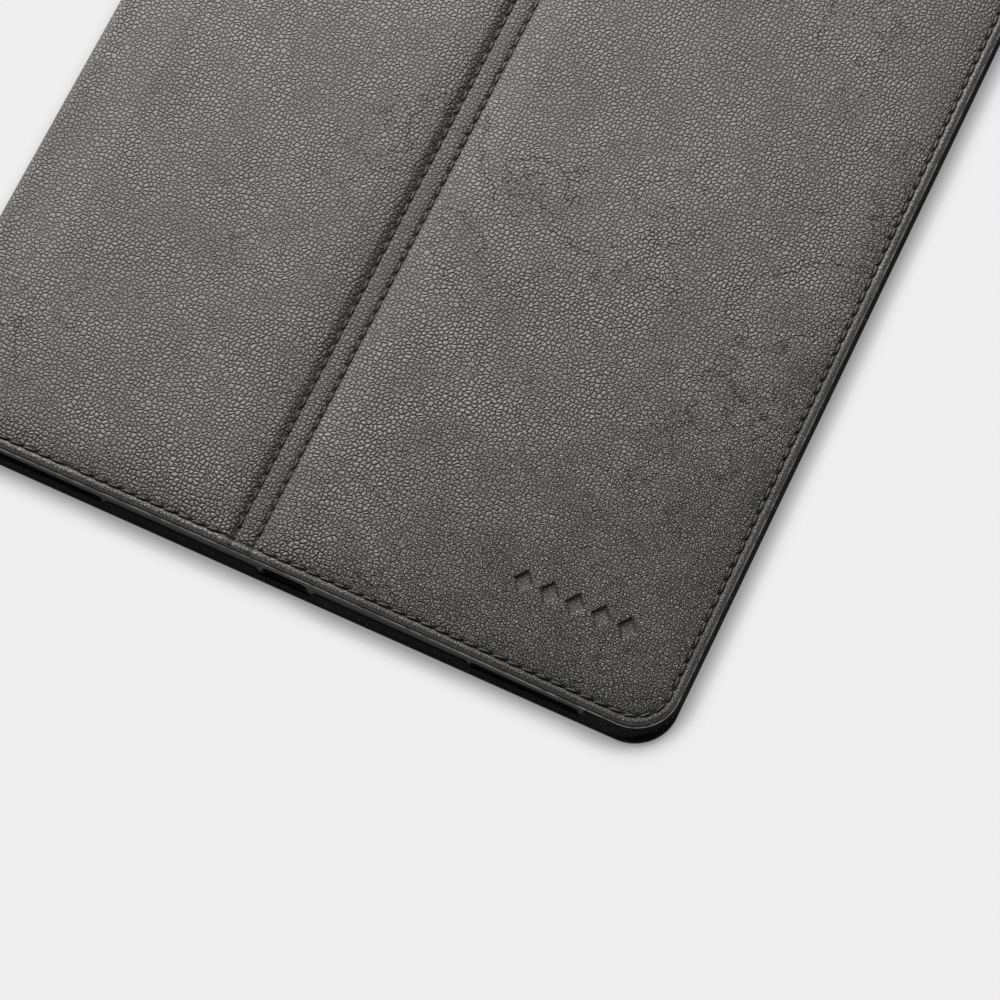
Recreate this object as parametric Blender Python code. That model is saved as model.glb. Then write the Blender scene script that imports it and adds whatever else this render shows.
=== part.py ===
"""Folio case for a tablet: a back cover with a snap-in tray, a spine, and a front cover
in two panels that fold along a narrow strip. Metres, +Z up. The case lies closed, with
the spine at -X, the tablet's charging edge at -Y and the front cover on top."""

import math

import bmesh
import bpy
from mathutils import Matrix, Vector

MM = 0.001

# Driving dimensions: the tablet that the case holds
TABLET_WIDTH = 174.1 * MM
TABLET_LENGTH = 250.6 * MM
TABLET_DEPTH = 6.1 * MM
TABLET_CORNER = 10.7 * MM
TABLET_SLACK = 0.2 * MM

# Driving dimensions: the moulded tray
WALL = 1.1 * MM
TRAY_FLOOR = 1.0 * MM
TRAY_ROUND = 3.2 * MM
LIP_DEPTH = 0.4 * MM
LIP_REACH = 6.0 * MM
TRAY_MARGIN = 0.5 * MM
RIM_WIDTH = 3.6 * MM
CORNER_REACH = 18.0 * MM
TAPE_SHARE_X = 0.72
TAPE_SHARE_Y = 0.76

# Driving dimensions: the covers
SPINE_ROOM = 5.4 * MM
COVER_CORNER = 10.0 * MM
LEATHER = 0.9 * MM
THIN_LEATHER = 0.8 * MM
BOARD = 0.9 * MM
LINING = 0.5 * MM
ADHESIVE = 0.2 * MM
LAYER_GAP = 0.2 * MM
GAP = 0.3 * MM
BOARD_SETBACK = 3.6 * MM
LINING_SETBACK = 2.4 * MM
SPINE_CLEARANCE = 0.4 * MM

# Driving dimensions: the fold strip and the seams
FOLD_CENTRE = -8.0 * MM
FOLD_HALF = 2.8 * MM
FOLD_SINK = 0.6 * MM
FOLD_AXIS_RISE = 0.1 * MM
PANEL_SETBACK = 0.6 * MM
FOLD_BOARD_SETBACK = 0.8 * MM
SEAM_INSET = 2.0 * MM
FOLD_SEAM_HALF = 2.35 * MM
THREAD_RADIUS = 0.17 * MM
GROOVE_HALF = 0.45 * MM
GROOVE_DEPTH = 0.55 * MM

# Plan of the tray and of the covers
BAY_WIDTH = TABLET_WIDTH + 2 * TABLET_SLACK
BAY_LENGTH = TABLET_LENGTH + 2 * TABLET_SLACK
BAY_CORNER = TABLET_CORNER + TABLET_SLACK
TRAY_WIDTH = BAY_WIDTH + 2 * WALL
TRAY_LENGTH = BAY_LENGTH + 2 * WALL
TRAY_CORNER = BAY_CORNER + WALL
COVER_WIDTH = SPINE_ROOM + TRAY_WIDTH + TRAY_MARGIN
COVER_LENGTH = TRAY_LENGTH + 2 * TRAY_MARGIN
RIGHT = COVER_WIDTH / 2
LEFT = -RIGHT
HALF_LENGTH = COVER_LENGTH / 2
TRAY_CENTRE = RIGHT - TRAY_MARGIN - TRAY_WIDTH / 2

# Heights, counted up from the surface that the case lies on
BACK_BOARD_Z = THIN_LEATHER + LAYER_GAP
BACK_LINING_Z = BACK_BOARD_Z + BOARD + LAYER_GAP
BACK_TOP = BACK_LINING_Z + LINING
ADHESIVE_Z = BACK_TOP + LAYER_GAP
TRAY_Z = ADHESIVE_Z + ADHESIVE + LAYER_GAP
BAY_FLOOR = TRAY_Z + TRAY_FLOOR
LIP_Z = BAY_FLOOR + TABLET_DEPTH + TABLET_SLACK
TRAY_TOP = LIP_Z + LIP_DEPTH
FRONT_BASE = TRAY_TOP + GAP
FRONT_BOARD_Z = FRONT_BASE + LINING + LAYER_GAP
FRONT_SKIN_Z = FRONT_BOARD_Z + BOARD + LAYER_GAP
TOP = FRONT_SKIN_Z + LEATHER

# Hinge lines, all along Y. The fold's lie just above the leather, where its bend is
SPINE_AXIS = Vector((LEFT + THIN_LEATHER, 0, THIN_LEATHER))
COVER_AXIS = Vector((LEFT + THIN_LEATHER, 0, TOP - THIN_LEATHER))
FOLD_Z = TOP + FOLD_AXIS_RISE
FOLD_INNER_AXIS = Vector((FOLD_CENTRE - FOLD_HALF, 0, FOLD_Z))
FOLD_OUTER_AXIS = Vector((FOLD_CENTRE + FOLD_HALF, 0, FOLD_Z))

# Openings for the tablet's own fittings
CAMERA_EDGE = 13.5 * MM
CAMERA_RADIUS = 7.0 * MM
CAMERA_RELIEF = 0.5 * MM
CAMERA_PLATE = 12.0 * MM
PORT_WIDTH = 11.0 * MM
PORT_SILL = 0.15 * MM
PORT_HEIGHT = 4.4 * MM
SPEAKER_LENGTH = 26.0 * MM
SPEAKER_SILL = 0.8 * MM
SPEAKER_HEIGHT = 2.4 * MM
BUTTON_SILL = 0.6 * MM
BUTTON_HEIGHT = 4.8 * MM
VOLUME_LENGTH = 28.0 * MM
POWER_LENGTH = 14.0 * MM
VOLUME_PLACE = 90.0 * MM
POWER_PLACE = 61.0 * MM
LOWER_SPEAKER_PLACE = 57.0 * MM
UPPER_SPEAKER_PLACE = 30.0 * MM

# Magnets and keeper plates, set into the boards
PLATE = 0.7 * MM
MAGNET_SIZE = (4.0 * MM, 12.0 * MM)
KEEPER_SIZE = (8.0 * MM, 30.0 * MM)
SLEEP_SIZE = (6.0 * MM, 6.0 * MM)
KEEPER_SETBACK = 12.0 * MM
STAND_MAGNET_SETBACK = 10.0 * MM
CLOSING_MAGNET_SETBACK = 7.0 * MM
STAND_PLACE = 60.0 * MM
CLOSING_PLACES = (-95.0 * MM, -45.0 * MM, 45.0 * MM, 95.0 * MM)

# Steps round a bend, and how far the cutters reach past what they cut
CORNER_STEPS = 8
ROUND_STEPS = 4
FAR = 20.0 * MM
OVERCUT = 2.0 * MM

# Corners of a plan, as the signs of x and y; the free corners are those away from the spine
FREE_CORNERS = ((1, 1), (1, -1))
ALL_CORNERS = ((1, 1), (1, -1), (-1, 1), (-1, -1))

# Where the camera hole and the inner ends of the covers' layers are
CAMERA_X = TRAY_CENTRE + TABLET_WIDTH / 2 - CAMERA_EDGE
CAMERA_Y = TABLET_LENGTH / 2 - CAMERA_EDGE
CAMERA_PLACE = (CAMERA_X, CAMERA_Y)
OPEN_X = SPINE_AXIS.x + GAP
BOARD_LEFT = LEFT + BOARD_SETBACK
LINING_LEFT = LEFT + LINING_SETBACK

for old in list(bpy.data.objects):
    bpy.data.objects.remove(old, do_unlink=True)

case_parts = bpy.data.collections.new("tablet_case")
case_cutters = bpy.data.collections.new("cutters")
bpy.context.scene.collection.children.link(case_parts)
bpy.context.scene.collection.children.link(case_cutters)


def make_material(name, colour, roughness, metallic=0.0):
    material = bpy.data.materials.new(name)
    material.use_nodes = True
    shader = material.node_tree.nodes["Principled BSDF"]
    shader.inputs["Base Color"].default_value = (*colour, 1.0)
    shader.inputs["Roughness"].default_value = roughness
    shader.inputs["Metallic"].default_value = metallic
    material.diffuse_color = (*colour, 1.0)
    return material


leather = make_material("leather", (0.115, 0.110, 0.108), 0.55)
lining = make_material("microfibre_lining", (0.020, 0.020, 0.021), 0.95)
board = make_material("stiffener_board", (0.230, 0.220, 0.200), 0.85)
plastic = make_material("tray_plastic", (0.045, 0.047, 0.050), 0.35)
tape = make_material("adhesive_tape", (0.550, 0.550, 0.520), 0.60)
thread = make_material("seam_thread", (0.012, 0.012, 0.013), 0.50)
steel = make_material("magnet_nickel", (0.620, 0.610, 0.590), 0.25, 1.0)


def make_hinge(name, place, parent=None):
    hinge = bpy.data.objects.new(name, None)
    hinge.empty_display_size = FAR
    hinge.location = place
    if parent is not None:
        hinge.parent = parent
        hinge.matrix_parent_inverse = Matrix.Translation(-world_place(parent))
    case_parts.objects.link(hinge)
    return hinge


def world_place(hinge):
    """Where a hinge stands: its location is stated in world terms under any parent."""
    return Vector(hinge.location)


spine_hinge = make_hinge("spine_hinge", SPINE_AXIS)
cover_hinge = make_hinge("cover_hinge", COVER_AXIS, spine_hinge)
fold_inner_hinge = make_hinge("fold_inner_hinge", FOLD_INNER_AXIS, cover_hinge)
fold_outer_hinge = make_hinge("fold_outer_hinge", FOLD_OUTER_AXIS, fold_inner_hinge)


def place_part(part, hinge=None, material=None):
    """Puts a finished piece in the case, under its hinge, with its material."""
    case_parts.objects.link(part)
    if material is not None:
        part.data.materials.append(material)
    if hinge is not None:
        part.parent = hinge
        part.matrix_parent_inverse = Matrix.Translation(-world_place(hinge))
    return part


def slab_object(name, x, y, z, corners=(), radius=0.0, base_round=0.0):
    """A box between two x, y and z limits. corners lists the (x sign, y sign) corners that
    are rounded in plan by radius; base_round rounds the whole lower edge."""
    low = Vector((x[0], y[0], z[0]))
    high = Vector((x[1], y[1], z[1]))
    size = high - low
    mesh = bpy.data.meshes.new(name)
    shape = bmesh.new()
    bmesh.ops.create_cube(shape, size=1.0, matrix=Matrix.Diagonal((*size, 1.0)))
    for sign_x, sign_y in corners:
        uprights = [
            edge
            for edge in shape.edges
            if all(v.co.x * sign_x > 0.499 * size.x for v in edge.verts)
            and all(v.co.y * sign_y > 0.499 * size.y for v in edge.verts)
        ]
        bevel_edges(shape, uprights, radius, CORNER_STEPS)
    if base_round > 0:
        rim = [
            edge
            for edge in shape.edges
            if all(v.co.z < -0.499 * size.z for v in edge.verts)
        ]
        bevel_edges(shape, rim, base_round, ROUND_STEPS)
    shape.to_mesh(mesh)
    shape.free()
    slab = bpy.data.objects.new(name, mesh)
    slab.location = (low + high) / 2
    return slab


def bevel_edges(shape, edges, width, steps):
    bmesh.ops.bevel(
        shape,
        geom=edges,
        offset=width,
        offset_type="OFFSET",
        segments=steps,
        profile=0.5,
        affect="EDGES",
        clamp_overlap=False,
    )


def make_cutter(cutter):
    cutter.hide_render = True
    cutter.display_type = "WIRE"
    case_cutters.objects.link(cutter)
    return cutter


def slab_cutter(name, x, y, z, **shape):
    return make_cutter(slab_object(name, x, y, z, **shape))


def round_cutter(name, centre, radius, z):
    mesh = bpy.data.meshes.new(name)
    shape = bmesh.new()
    bmesh.ops.create_cone(
        shape, cap_ends=True, segments=24, radius1=radius, radius2=radius, depth=z[1] - z[0]
    )
    shape.to_mesh(mesh)
    shape.free()
    cutter = bpy.data.objects.new(name, mesh)
    cutter.location = (centre[0], centre[1], (z[0] + z[1]) / 2)
    return make_cutter(cutter)


def cut(part, cutter):
    tool = part.modifiers.new(cutter.name, "BOOLEAN")
    tool.operation = "DIFFERENCE"
    tool.solver = "EXACT"
    tool.object = cutter
    return part


def thread_tube(name, points, hinge=None):
    """Seam thread, drawn as one continuous tube along its seam line."""
    curve = bpy.data.curves.new(name, "CURVE")
    curve.dimensions = "3D"
    curve.bevel_depth = THREAD_RADIUS
    curve.bevel_resolution = 1
    curve.use_fill_caps = True
    spline = curve.splines.new("POLY")
    spline.points.add(len(points) - 1)
    for point, place in zip(spline.points, points):
        point.co = (*place, 1.0)
    return place_part(bpy.data.objects.new(name, curve), hinge, thread)


def arc(centre, radius, start, end, height):
    """Points on an arc in plan; start and end are in degrees."""
    points = []
    for step in range(CORNER_STEPS + 1):
        angle = math.radians(start + (end - start) * step / CORNER_STEPS)
        x = centre[0] + radius * math.cos(angle)
        y = centre[1] + radius * math.sin(angle)
        points.append((x, y, height))
    return points


def edge_seam(start_x, height):
    """A seam along the lower edge, round the free edge and back along the upper edge."""
    bend = COVER_CORNER - SEAM_INSET
    corner_x = RIGHT - COVER_CORNER
    corner_y = HALF_LENGTH - COVER_CORNER
    line_y = HALF_LENGTH - SEAM_INSET
    points = [(start_x, -line_y, height)]
    points += arc((corner_x, -corner_y), bend, -90, 0, height)
    points += arc((corner_x, corner_y), bend, 0, 90, height)
    points.append((start_x, line_y, height))
    return points


def seam_groove(name, x_start, z):
    """A ring-shaped cutter that follows the edge seam, open past x_start."""
    wide = SEAM_INSET - GROOVE_HALF
    tight = SEAM_INSET + GROOVE_HALF
    ring = slab_cutter(
        name,
        (x_start, RIGHT - wide),
        (-HALF_LENGTH + wide, HALF_LENGTH - wide),
        z,
        corners=FREE_CORNERS,
        radius=COVER_CORNER - wide,
    )
    core = slab_cutter(
        name + "_core",
        (x_start - GAP, RIGHT - tight),
        (-HALF_LENGTH + tight, HALF_LENGTH - tight),
        (z[0] - GAP, z[1] + GAP),
        corners=FREE_CORNERS,
        radius=COVER_CORNER - tight,
    )
    return cut(ring, core)


def cover_skin(name, x, z, skin, face_down, hinge, free_edge):
    """A leather face with sides turned over the edges of its board: along both ends, and
    along the free edge too where the skin reaches it."""
    corners = FREE_CORNERS if free_edge else ()
    skin_part = slab_object(
        name, x, (-HALF_LENGTH, HALF_LENGTH), z, corners=corners, radius=COVER_CORNER
    )
    far_x = x[1] - skin if free_edge else x[1] + FAR
    hollow_z = (z[0] + skin, z[1] + FAR) if face_down else (z[0] - FAR, z[1] - skin)
    hollow = slab_cutter(
        name + "_hollow",
        (x[0] - FAR, far_x),
        (-HALF_LENGTH + skin, HALF_LENGTH - skin),
        hollow_z,
        corners=corners,
        radius=COVER_CORNER - skin,
    )
    place_part(skin_part, hinge, leather)
    return cut(skin_part, hollow)


def inner_sheet(name, x, z, skin, hinge, material, free_edge):
    """A flat sheet that lies inside a cover skin: the board or the lining."""
    inset = skin + GAP
    far_x = x[1] - inset if free_edge else x[1]
    sheet = slab_object(
        name,
        (x[0], far_x),
        (-HALF_LENGTH + inset, HALF_LENGTH - inset),
        z,
        corners=FREE_CORNERS if free_edge else (),
        radius=COVER_CORNER - inset,
    )
    return place_part(sheet, hinge, material)


def plate_in_board(name, board_part, centre, size, z, hinge):
    """A magnet or a steel plate in its own window in a board."""
    x = (centre[0] - size[0] / 2, centre[0] + size[0] / 2)
    y = (centre[1] - size[1] / 2, centre[1] + size[1] / 2)
    plate_z = z + (BOARD - PLATE) / 2
    plate = slab_object(name, x, y, (plate_z, plate_z + PLATE))
    window = slab_cutter(
        name + "_window",
        (x[0] - GAP, x[1] + GAP),
        (y[0] - GAP, y[1] + GAP),
        (z - GAP, z + BOARD + GAP),
    )
    cut(board_part, window)
    return place_part(plate, hinge, steel)


def build_back_cover():
    skin = cover_skin(
        "back_leather", (OPEN_X, RIGHT), (0.0, BACK_TOP), THIN_LEATHER, True, None, True
    )
    cut(skin, seam_groove("back_seam_groove", LEFT - FAR, (-GAP, GROOVE_DEPTH)))
    stiffener = inner_sheet(
        "back_board",
        (BOARD_LEFT, RIGHT),
        (BACK_BOARD_Z, BACK_BOARD_Z + BOARD),
        THIN_LEATHER,
        None,
        board,
        True,
    )
    inside = inner_sheet(
        "back_lining",
        (LINING_LEFT, RIGHT),
        (BACK_LINING_Z, BACK_TOP),
        THIN_LEATHER,
        None,
        lining,
        True,
    )
    hole = round_cutter(
        "back_camera_hole", CAMERA_PLACE, CAMERA_RADIUS + CAMERA_RELIEF, (-FAR, TRAY_Z)
    )
    for layer in (skin, stiffener, inside):
        cut(layer, hole)
    thread_z = GROOVE_DEPTH - THREAD_RADIUS - LAYER_GAP / 2
    thread_tube("back_edge_seam", edge_seam(OPEN_X + GAP, thread_z))
    for side, sign in (("lower", -1), ("upper", 1)):
        plate_in_board(
            f"keeper_plate_{side}",
            stiffener,
            (LEFT + KEEPER_SETBACK, sign * STAND_PLACE),
            KEEPER_SIZE,
            BACK_BOARD_Z,
            None,
        )


def build_tray():
    """The tray is one moulding. It is split here into its floor, the part of the floor round
    the camera hole, its four straight walls and its four corners, all with its own section."""
    half_x = TRAY_WIDTH / 2
    half_y = TRAY_LENGTH / 2
    pad = slab_object(
        "tray_adhesive",
        (TRAY_CENTRE - TAPE_SHARE_X * half_x, TRAY_CENTRE + TAPE_SHARE_X * half_x),
        (-TAPE_SHARE_Y * half_y, TAPE_SHARE_Y * half_y),
        (ADHESIVE_Z, ADHESIVE_Z + ADHESIVE),
    )
    place_part(pad, None, tape)
    bay = bay_cutter("tray_bay", (BAY_FLOOR, LIP_Z), BAY_CORNER, TRAY_ROUND - WALL)
    mouth = bay_cutter("tray_mouth", (LIP_Z - GAP, TRAY_TOP + GAP), BAY_CORNER + LIP_REACH, 0.0)
    openings = side_openings(half_x, half_y)
    camera = round_cutter("tray_camera_hole", CAMERA_PLACE, CAMERA_RADIUS, (0.0, LIP_Z))
    inner = floor_region("tray_floor_region", RIM_WIDTH + LAYER_GAP)
    core = floor_region("tray_rim_core", RIM_WIDTH)
    tray_piece("tray_floor", (bay, camera_region("tray_camera_region", 0.0)), inner)
    plate = tray_piece("tray_camera_plate", (bay, camera), inner)
    keep_inside(plate, camera_region("tray_plate_region", LAYER_GAP))
    end_x = half_x - CORNER_REACH
    end_y = half_y - CORNER_REACH
    walls = {
        "left": ((-half_x, -half_x + RIM_WIDTH), (-end_y, end_y)),
        "right": ((half_x - RIM_WIDTH, half_x), (-end_y, end_y)),
        "lower": ((-end_x, end_x), (-half_y, -half_y + RIM_WIDTH)),
        "upper": ((-end_x, end_x), (half_y - RIM_WIDTH, half_y)),
    }
    for side, (x, y) in walls.items():
        region = tray_region(f"tray_{side}_region", x, y)
        tray_piece(f"tray_wall_{side}", (bay, mouth, *openings.get(side, ())), region)
    for end, sign_y in (("lower", -1), ("upper", 1)):
        for side, sign_x in (("left", -1), ("right", 1)):
            near_x = sign_x * (end_x + LAYER_GAP)
            near_y = sign_y * (end_y + LAYER_GAP)
            region = tray_region(
                f"tray_{end}_{side}_region",
                sorted((near_x, sign_x * half_x)),
                sorted((near_y, sign_y * half_y)),
            )
            corner = tray_piece(f"tray_corner_{end}_{side}", (bay, mouth), region)
            cut(corner, core)


def bay_cutter(name, z, corner, base_round):
    return slab_cutter(
        name,
        (TRAY_CENTRE - BAY_WIDTH / 2, TRAY_CENTRE + BAY_WIDTH / 2),
        (-BAY_LENGTH / 2, BAY_LENGTH / 2),
        z,
        corners=ALL_CORNERS,
        radius=corner,
        base_round=base_round,
    )


def floor_region(name, inset):
    return slab_cutter(
        name,
        (TRAY_CENTRE - TRAY_WIDTH / 2 + inset, TRAY_CENTRE + TRAY_WIDTH / 2 - inset),
        (-TRAY_LENGTH / 2 + inset, TRAY_LENGTH / 2 - inset),
        (0.0, BAY_FLOOR + GAP),
        corners=ALL_CORNERS,
        radius=TRAY_CORNER - inset,
    )


def tray_region(name, x, y):
    """Part of the tray's plan, from the tray's centre; outer limits reach past the tray."""
    low_x, high_x = (past_edge(limit, TRAY_WIDTH / 2) for limit in x)
    low_y, high_y = (past_edge(limit, TRAY_LENGTH / 2) for limit in y)
    return slab_cutter(
        name, (TRAY_CENTRE + low_x, TRAY_CENTRE + high_x), (low_y, high_y), (0.0, TOP)
    )


def past_edge(limit, edge):
    return limit + math.copysign(OVERCUT, limit) if abs(limit) == edge else limit


def tray_piece(name, cutters, region):
    piece = slab_object(
        name,
        (TRAY_CENTRE - TRAY_WIDTH / 2, TRAY_CENTRE + TRAY_WIDTH / 2),
        (-TRAY_LENGTH / 2, TRAY_LENGTH / 2),
        (TRAY_Z, TRAY_TOP),
        corners=ALL_CORNERS,
        radius=TRAY_CORNER,
        base_round=TRAY_ROUND,
    )
    place_part(piece, None, plastic)
    for cutter in cutters:
        cut(piece, cutter)
    keep_inside(piece, region)
    return piece


def keep_inside(piece, region):
    keep = piece.modifiers.new(region.name, "BOOLEAN")
    keep.operation = "INTERSECT"
    keep.solver = "EXACT"
    keep.object = region


def camera_region(name, inset):
    """The tray's floor round the camera hole, out to the tray's corner."""
    return slab_cutter(
        name,
        (CAMERA_PLACE[0] - CAMERA_PLATE + inset, RIGHT),
        (CAMERA_PLACE[1] - CAMERA_PLATE + inset, HALF_LENGTH),
        (0.0, BAY_FLOOR + GAP),
    )


def side_openings(half_x, half_y):
    """Cutters through the tray's walls, by wall: charging port, speakers and buttons."""
    deep = RIM_WIDTH + OVERCUT
    low_side = (-half_y - OVERCUT, -half_y + deep)
    high_side = (half_y - deep, half_y + OVERCUT)
    port_z = (BAY_FLOOR + PORT_SILL, BAY_FLOOR + PORT_SILL + PORT_HEIGHT)
    speaker_z = (BAY_FLOOR + SPEAKER_SILL, BAY_FLOOR + SPEAKER_SILL + SPEAKER_HEIGHT)
    button_z = (BAY_FLOOR + BUTTON_SILL, BAY_FLOOR + BUTTON_SILL + BUTTON_HEIGHT)

    def opening(name, centre, length, y, z):
        x = (TRAY_CENTRE + centre - length / 2, TRAY_CENTRE + centre + length / 2)
        return slab_cutter(name, x, y, z)

    port = opening("port_opening", 0.0, PORT_WIDTH, low_side, port_z)
    lower = [port]
    upper = [opening("power_opening", POWER_PLACE, POWER_LENGTH, high_side, button_z)]
    for side, sign in (("left", -1), ("right", 1)):
        for end, cutters, place, y in (
            ("lower", lower, LOWER_SPEAKER_PLACE, low_side),
            ("upper", upper, UPPER_SPEAKER_PLACE, high_side),
        ):
            name = f"speaker_{end}_{side}"
            cutters.append(opening(name, sign * place, SPEAKER_LENGTH, y, speaker_z))
    volume = slab_cutter(
        "volume_opening",
        (TRAY_CENTRE + half_x - deep, TRAY_CENTRE + half_x + OVERCUT),
        (VOLUME_PLACE - VOLUME_LENGTH / 2, VOLUME_PLACE + VOLUME_LENGTH / 2),
        button_z,
    )
    return {"lower": lower, "upper": upper, "right": [volume]}


def build_spine():
    leather_z = (SPINE_AXIS.z + GAP, COVER_AXIS.z - GAP)
    inner_z = (BACK_TOP + SPINE_CLEARANCE, FRONT_BASE - GAP)
    board_x = SPINE_AXIS.x + LAYER_GAP
    lining_x = board_x + BOARD + LAYER_GAP
    inset = LEATHER + GAP
    layers = (
        ("spine_leather", (LEFT, SPINE_AXIS.x), 0.0, leather_z, leather),
        ("spine_board", (board_x, board_x + BOARD), inset, inner_z, board),
        ("spine_lining", (lining_x, lining_x + LINING), inset, inner_z, lining),
    )
    for name, x, end_inset, z, material in layers:
        y = (-HALF_LENGTH + end_inset, HALF_LENGTH - end_inset)
        place_part(slab_object(name, x, y, z), spine_hinge, material)


def build_panel(name, x, hinge, free_edge):
    """One stiff half of the front cover: leather, board and lining."""
    skin = cover_skin(
        name + "_leather", x, (FRONT_BASE, TOP), LEATHER, False, hinge, free_edge
    )
    at_spine = not free_edge
    board_x0 = BOARD_LEFT if at_spine else x[0] + FOLD_BOARD_SETBACK
    lining_x0 = LINING_LEFT if at_spine else x[0] + LAYER_GAP / 2
    board_x1 = x[1] if free_edge else x[1] - FOLD_BOARD_SETBACK
    lining_x1 = x[1] if free_edge else x[1] - LAYER_GAP / 2
    stiffener = inner_sheet(
        name + "_board",
        (board_x0, board_x1),
        (FRONT_BOARD_Z, FRONT_BOARD_Z + BOARD),
        LEATHER,
        hinge,
        board,
        free_edge,
    )
    inner_sheet(
        name + "_lining",
        (lining_x0, lining_x1),
        (FRONT_BASE, FRONT_BASE + LINING),
        LEATHER,
        hinge,
        lining,
        free_edge,
    )
    return skin, stiffener


def build_narrow_panel():
    x = (OPEN_X, FOLD_INNER_AXIS.x - PANEL_SETBACK)
    skin, stiffener = build_panel("narrow_panel", x, cover_hinge, False)
    line_y = HALF_LENGTH - SEAM_INSET
    thread_z = TOP - GROOVE_DEPTH + LAYER_GAP / 2 + THREAD_RADIUS
    for side, sign in (("lower", -1), ("upper", 1)):
        groove = slab_cutter(
            f"narrow_groove_{side}",
            (x[0] - FAR, x[1] + FAR),
            (sign * line_y - GROOVE_HALF, sign * line_y + GROOVE_HALF),
            (TOP - GROOVE_DEPTH, TOP + FAR),
        )
        cut(skin, groove)
        ends = (x[0] + GAP, x[1] - GAP)
        points = [(end, sign * line_y, thread_z) for end in ends]
        thread_tube(f"narrow_seam_{side}", points, cover_hinge)
        plate_in_board(
            f"stand_magnet_{side}",
            stiffener,
            (LEFT + STAND_MAGNET_SETBACK, sign * STAND_PLACE),
            MAGNET_SIZE,
            FRONT_BOARD_Z,
            cover_hinge,
        )


def build_wide_panel():
    x = (FOLD_OUTER_AXIS.x + PANEL_SETBACK, RIGHT)
    skin, stiffener = build_panel("wide_panel", x, fold_outer_hinge, True)
    cut(skin, seam_groove("wide_seam_groove", x[0] - FAR, (TOP - GROOVE_DEPTH, TOP + GAP)))
    thread_z = TOP - GROOVE_DEPTH + LAYER_GAP / 2 + THREAD_RADIUS
    thread_tube("wide_edge_seam", edge_seam(x[0] + GAP, thread_z), fold_outer_hinge)
    magnet_x = RIGHT - CLOSING_MAGNET_SETBACK
    for number, y in enumerate(CLOSING_PLACES):
        plate_in_board(
            f"closing_magnet_{number + 1}",
            stiffener,
            (magnet_x, y),
            MAGNET_SIZE,
            FRONT_BOARD_Z,
            fold_outer_hinge,
        )
    plate_in_board(
        "sleep_magnet", stiffener, (magnet_x, 0.0), SLEEP_SIZE, FRONT_BOARD_Z, fold_outer_hinge
    )


def build_fold_strip():
    """The soft strip between the panels: no board, and sewn down along both sides."""
    edge = FOLD_HALF - LAYER_GAP / 2
    x = (FOLD_CENTRE - edge, FOLD_CENTRE + edge)
    end_y = HALF_LENGTH - LAYER_GAP * 2
    strip_top = TOP - FOLD_SINK
    skin = slab_object("fold_leather", x, (-end_y, end_y), (FRONT_BASE, strip_top))
    place_part(skin, fold_inner_hinge, leather)
    hollow = slab_cutter(
        "fold_leather_hollow",
        (x[0] - FAR, x[1] + FAR),
        (-end_y + LEATHER, end_y - LEATHER),
        (FRONT_BASE - FAR, strip_top - LEATHER),
    )
    cut(skin, hollow)
    ledge = strip_top - GROOVE_DEPTH
    inside = slab_object(
        "fold_lining",
        x,
        (-end_y + LEATHER + GAP, end_y - LEATHER - GAP),
        (FRONT_BASE, FRONT_BASE + LINING),
    )
    place_part(inside, fold_inner_hinge, lining)
    for side, sign in (("inner", -1), ("outer", 1)):
        line_x = FOLD_CENTRE + sign * FOLD_SEAM_HALF
        outside_x = FOLD_CENTRE + sign * (FOLD_HALF + FAR)
        inside_x = line_x - sign * GROOVE_HALF
        rebate = slab_cutter(
            f"fold_rebate_{side}",
            (min(inside_x, outside_x), max(inside_x, outside_x)),
            (-end_y - FAR, end_y + FAR),
            (ledge, strip_top + FAR),
        )
        cut(skin, rebate)
        thread_z = ledge + LAYER_GAP / 2 + THREAD_RADIUS
        points = [(line_x, side_y, thread_z) for side_y in (-end_y + GAP, end_y - GAP)]
        thread_tube(f"fold_seam_{side}", points, fold_inner_hinge)


build_back_cover()
build_tray()
build_spine()
build_narrow_panel()
build_fold_strip()
build_wide_panel()
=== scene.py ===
import math

import bpy
import bmesh
import numpy as np
from mathutils import Matrix, Vector, noise


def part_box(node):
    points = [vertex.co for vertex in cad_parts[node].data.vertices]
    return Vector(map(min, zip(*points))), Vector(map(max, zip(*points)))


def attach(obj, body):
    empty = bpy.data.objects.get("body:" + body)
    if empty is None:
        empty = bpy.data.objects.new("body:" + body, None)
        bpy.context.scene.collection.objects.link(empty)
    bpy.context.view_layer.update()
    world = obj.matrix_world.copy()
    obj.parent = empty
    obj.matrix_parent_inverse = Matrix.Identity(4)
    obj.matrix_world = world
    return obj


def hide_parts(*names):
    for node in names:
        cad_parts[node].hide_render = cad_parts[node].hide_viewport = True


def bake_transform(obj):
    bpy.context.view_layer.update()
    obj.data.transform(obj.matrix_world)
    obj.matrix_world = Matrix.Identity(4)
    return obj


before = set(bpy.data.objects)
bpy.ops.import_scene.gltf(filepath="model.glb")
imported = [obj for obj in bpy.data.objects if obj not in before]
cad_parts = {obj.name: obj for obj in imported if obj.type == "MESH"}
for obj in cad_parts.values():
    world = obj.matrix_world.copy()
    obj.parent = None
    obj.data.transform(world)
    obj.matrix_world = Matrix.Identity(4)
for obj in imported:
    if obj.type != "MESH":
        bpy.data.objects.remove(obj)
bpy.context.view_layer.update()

mm = 0.001


def boxMm(node):
    low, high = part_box(node)
    return np.array(low) / mm, np.array(high) / mm


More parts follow.
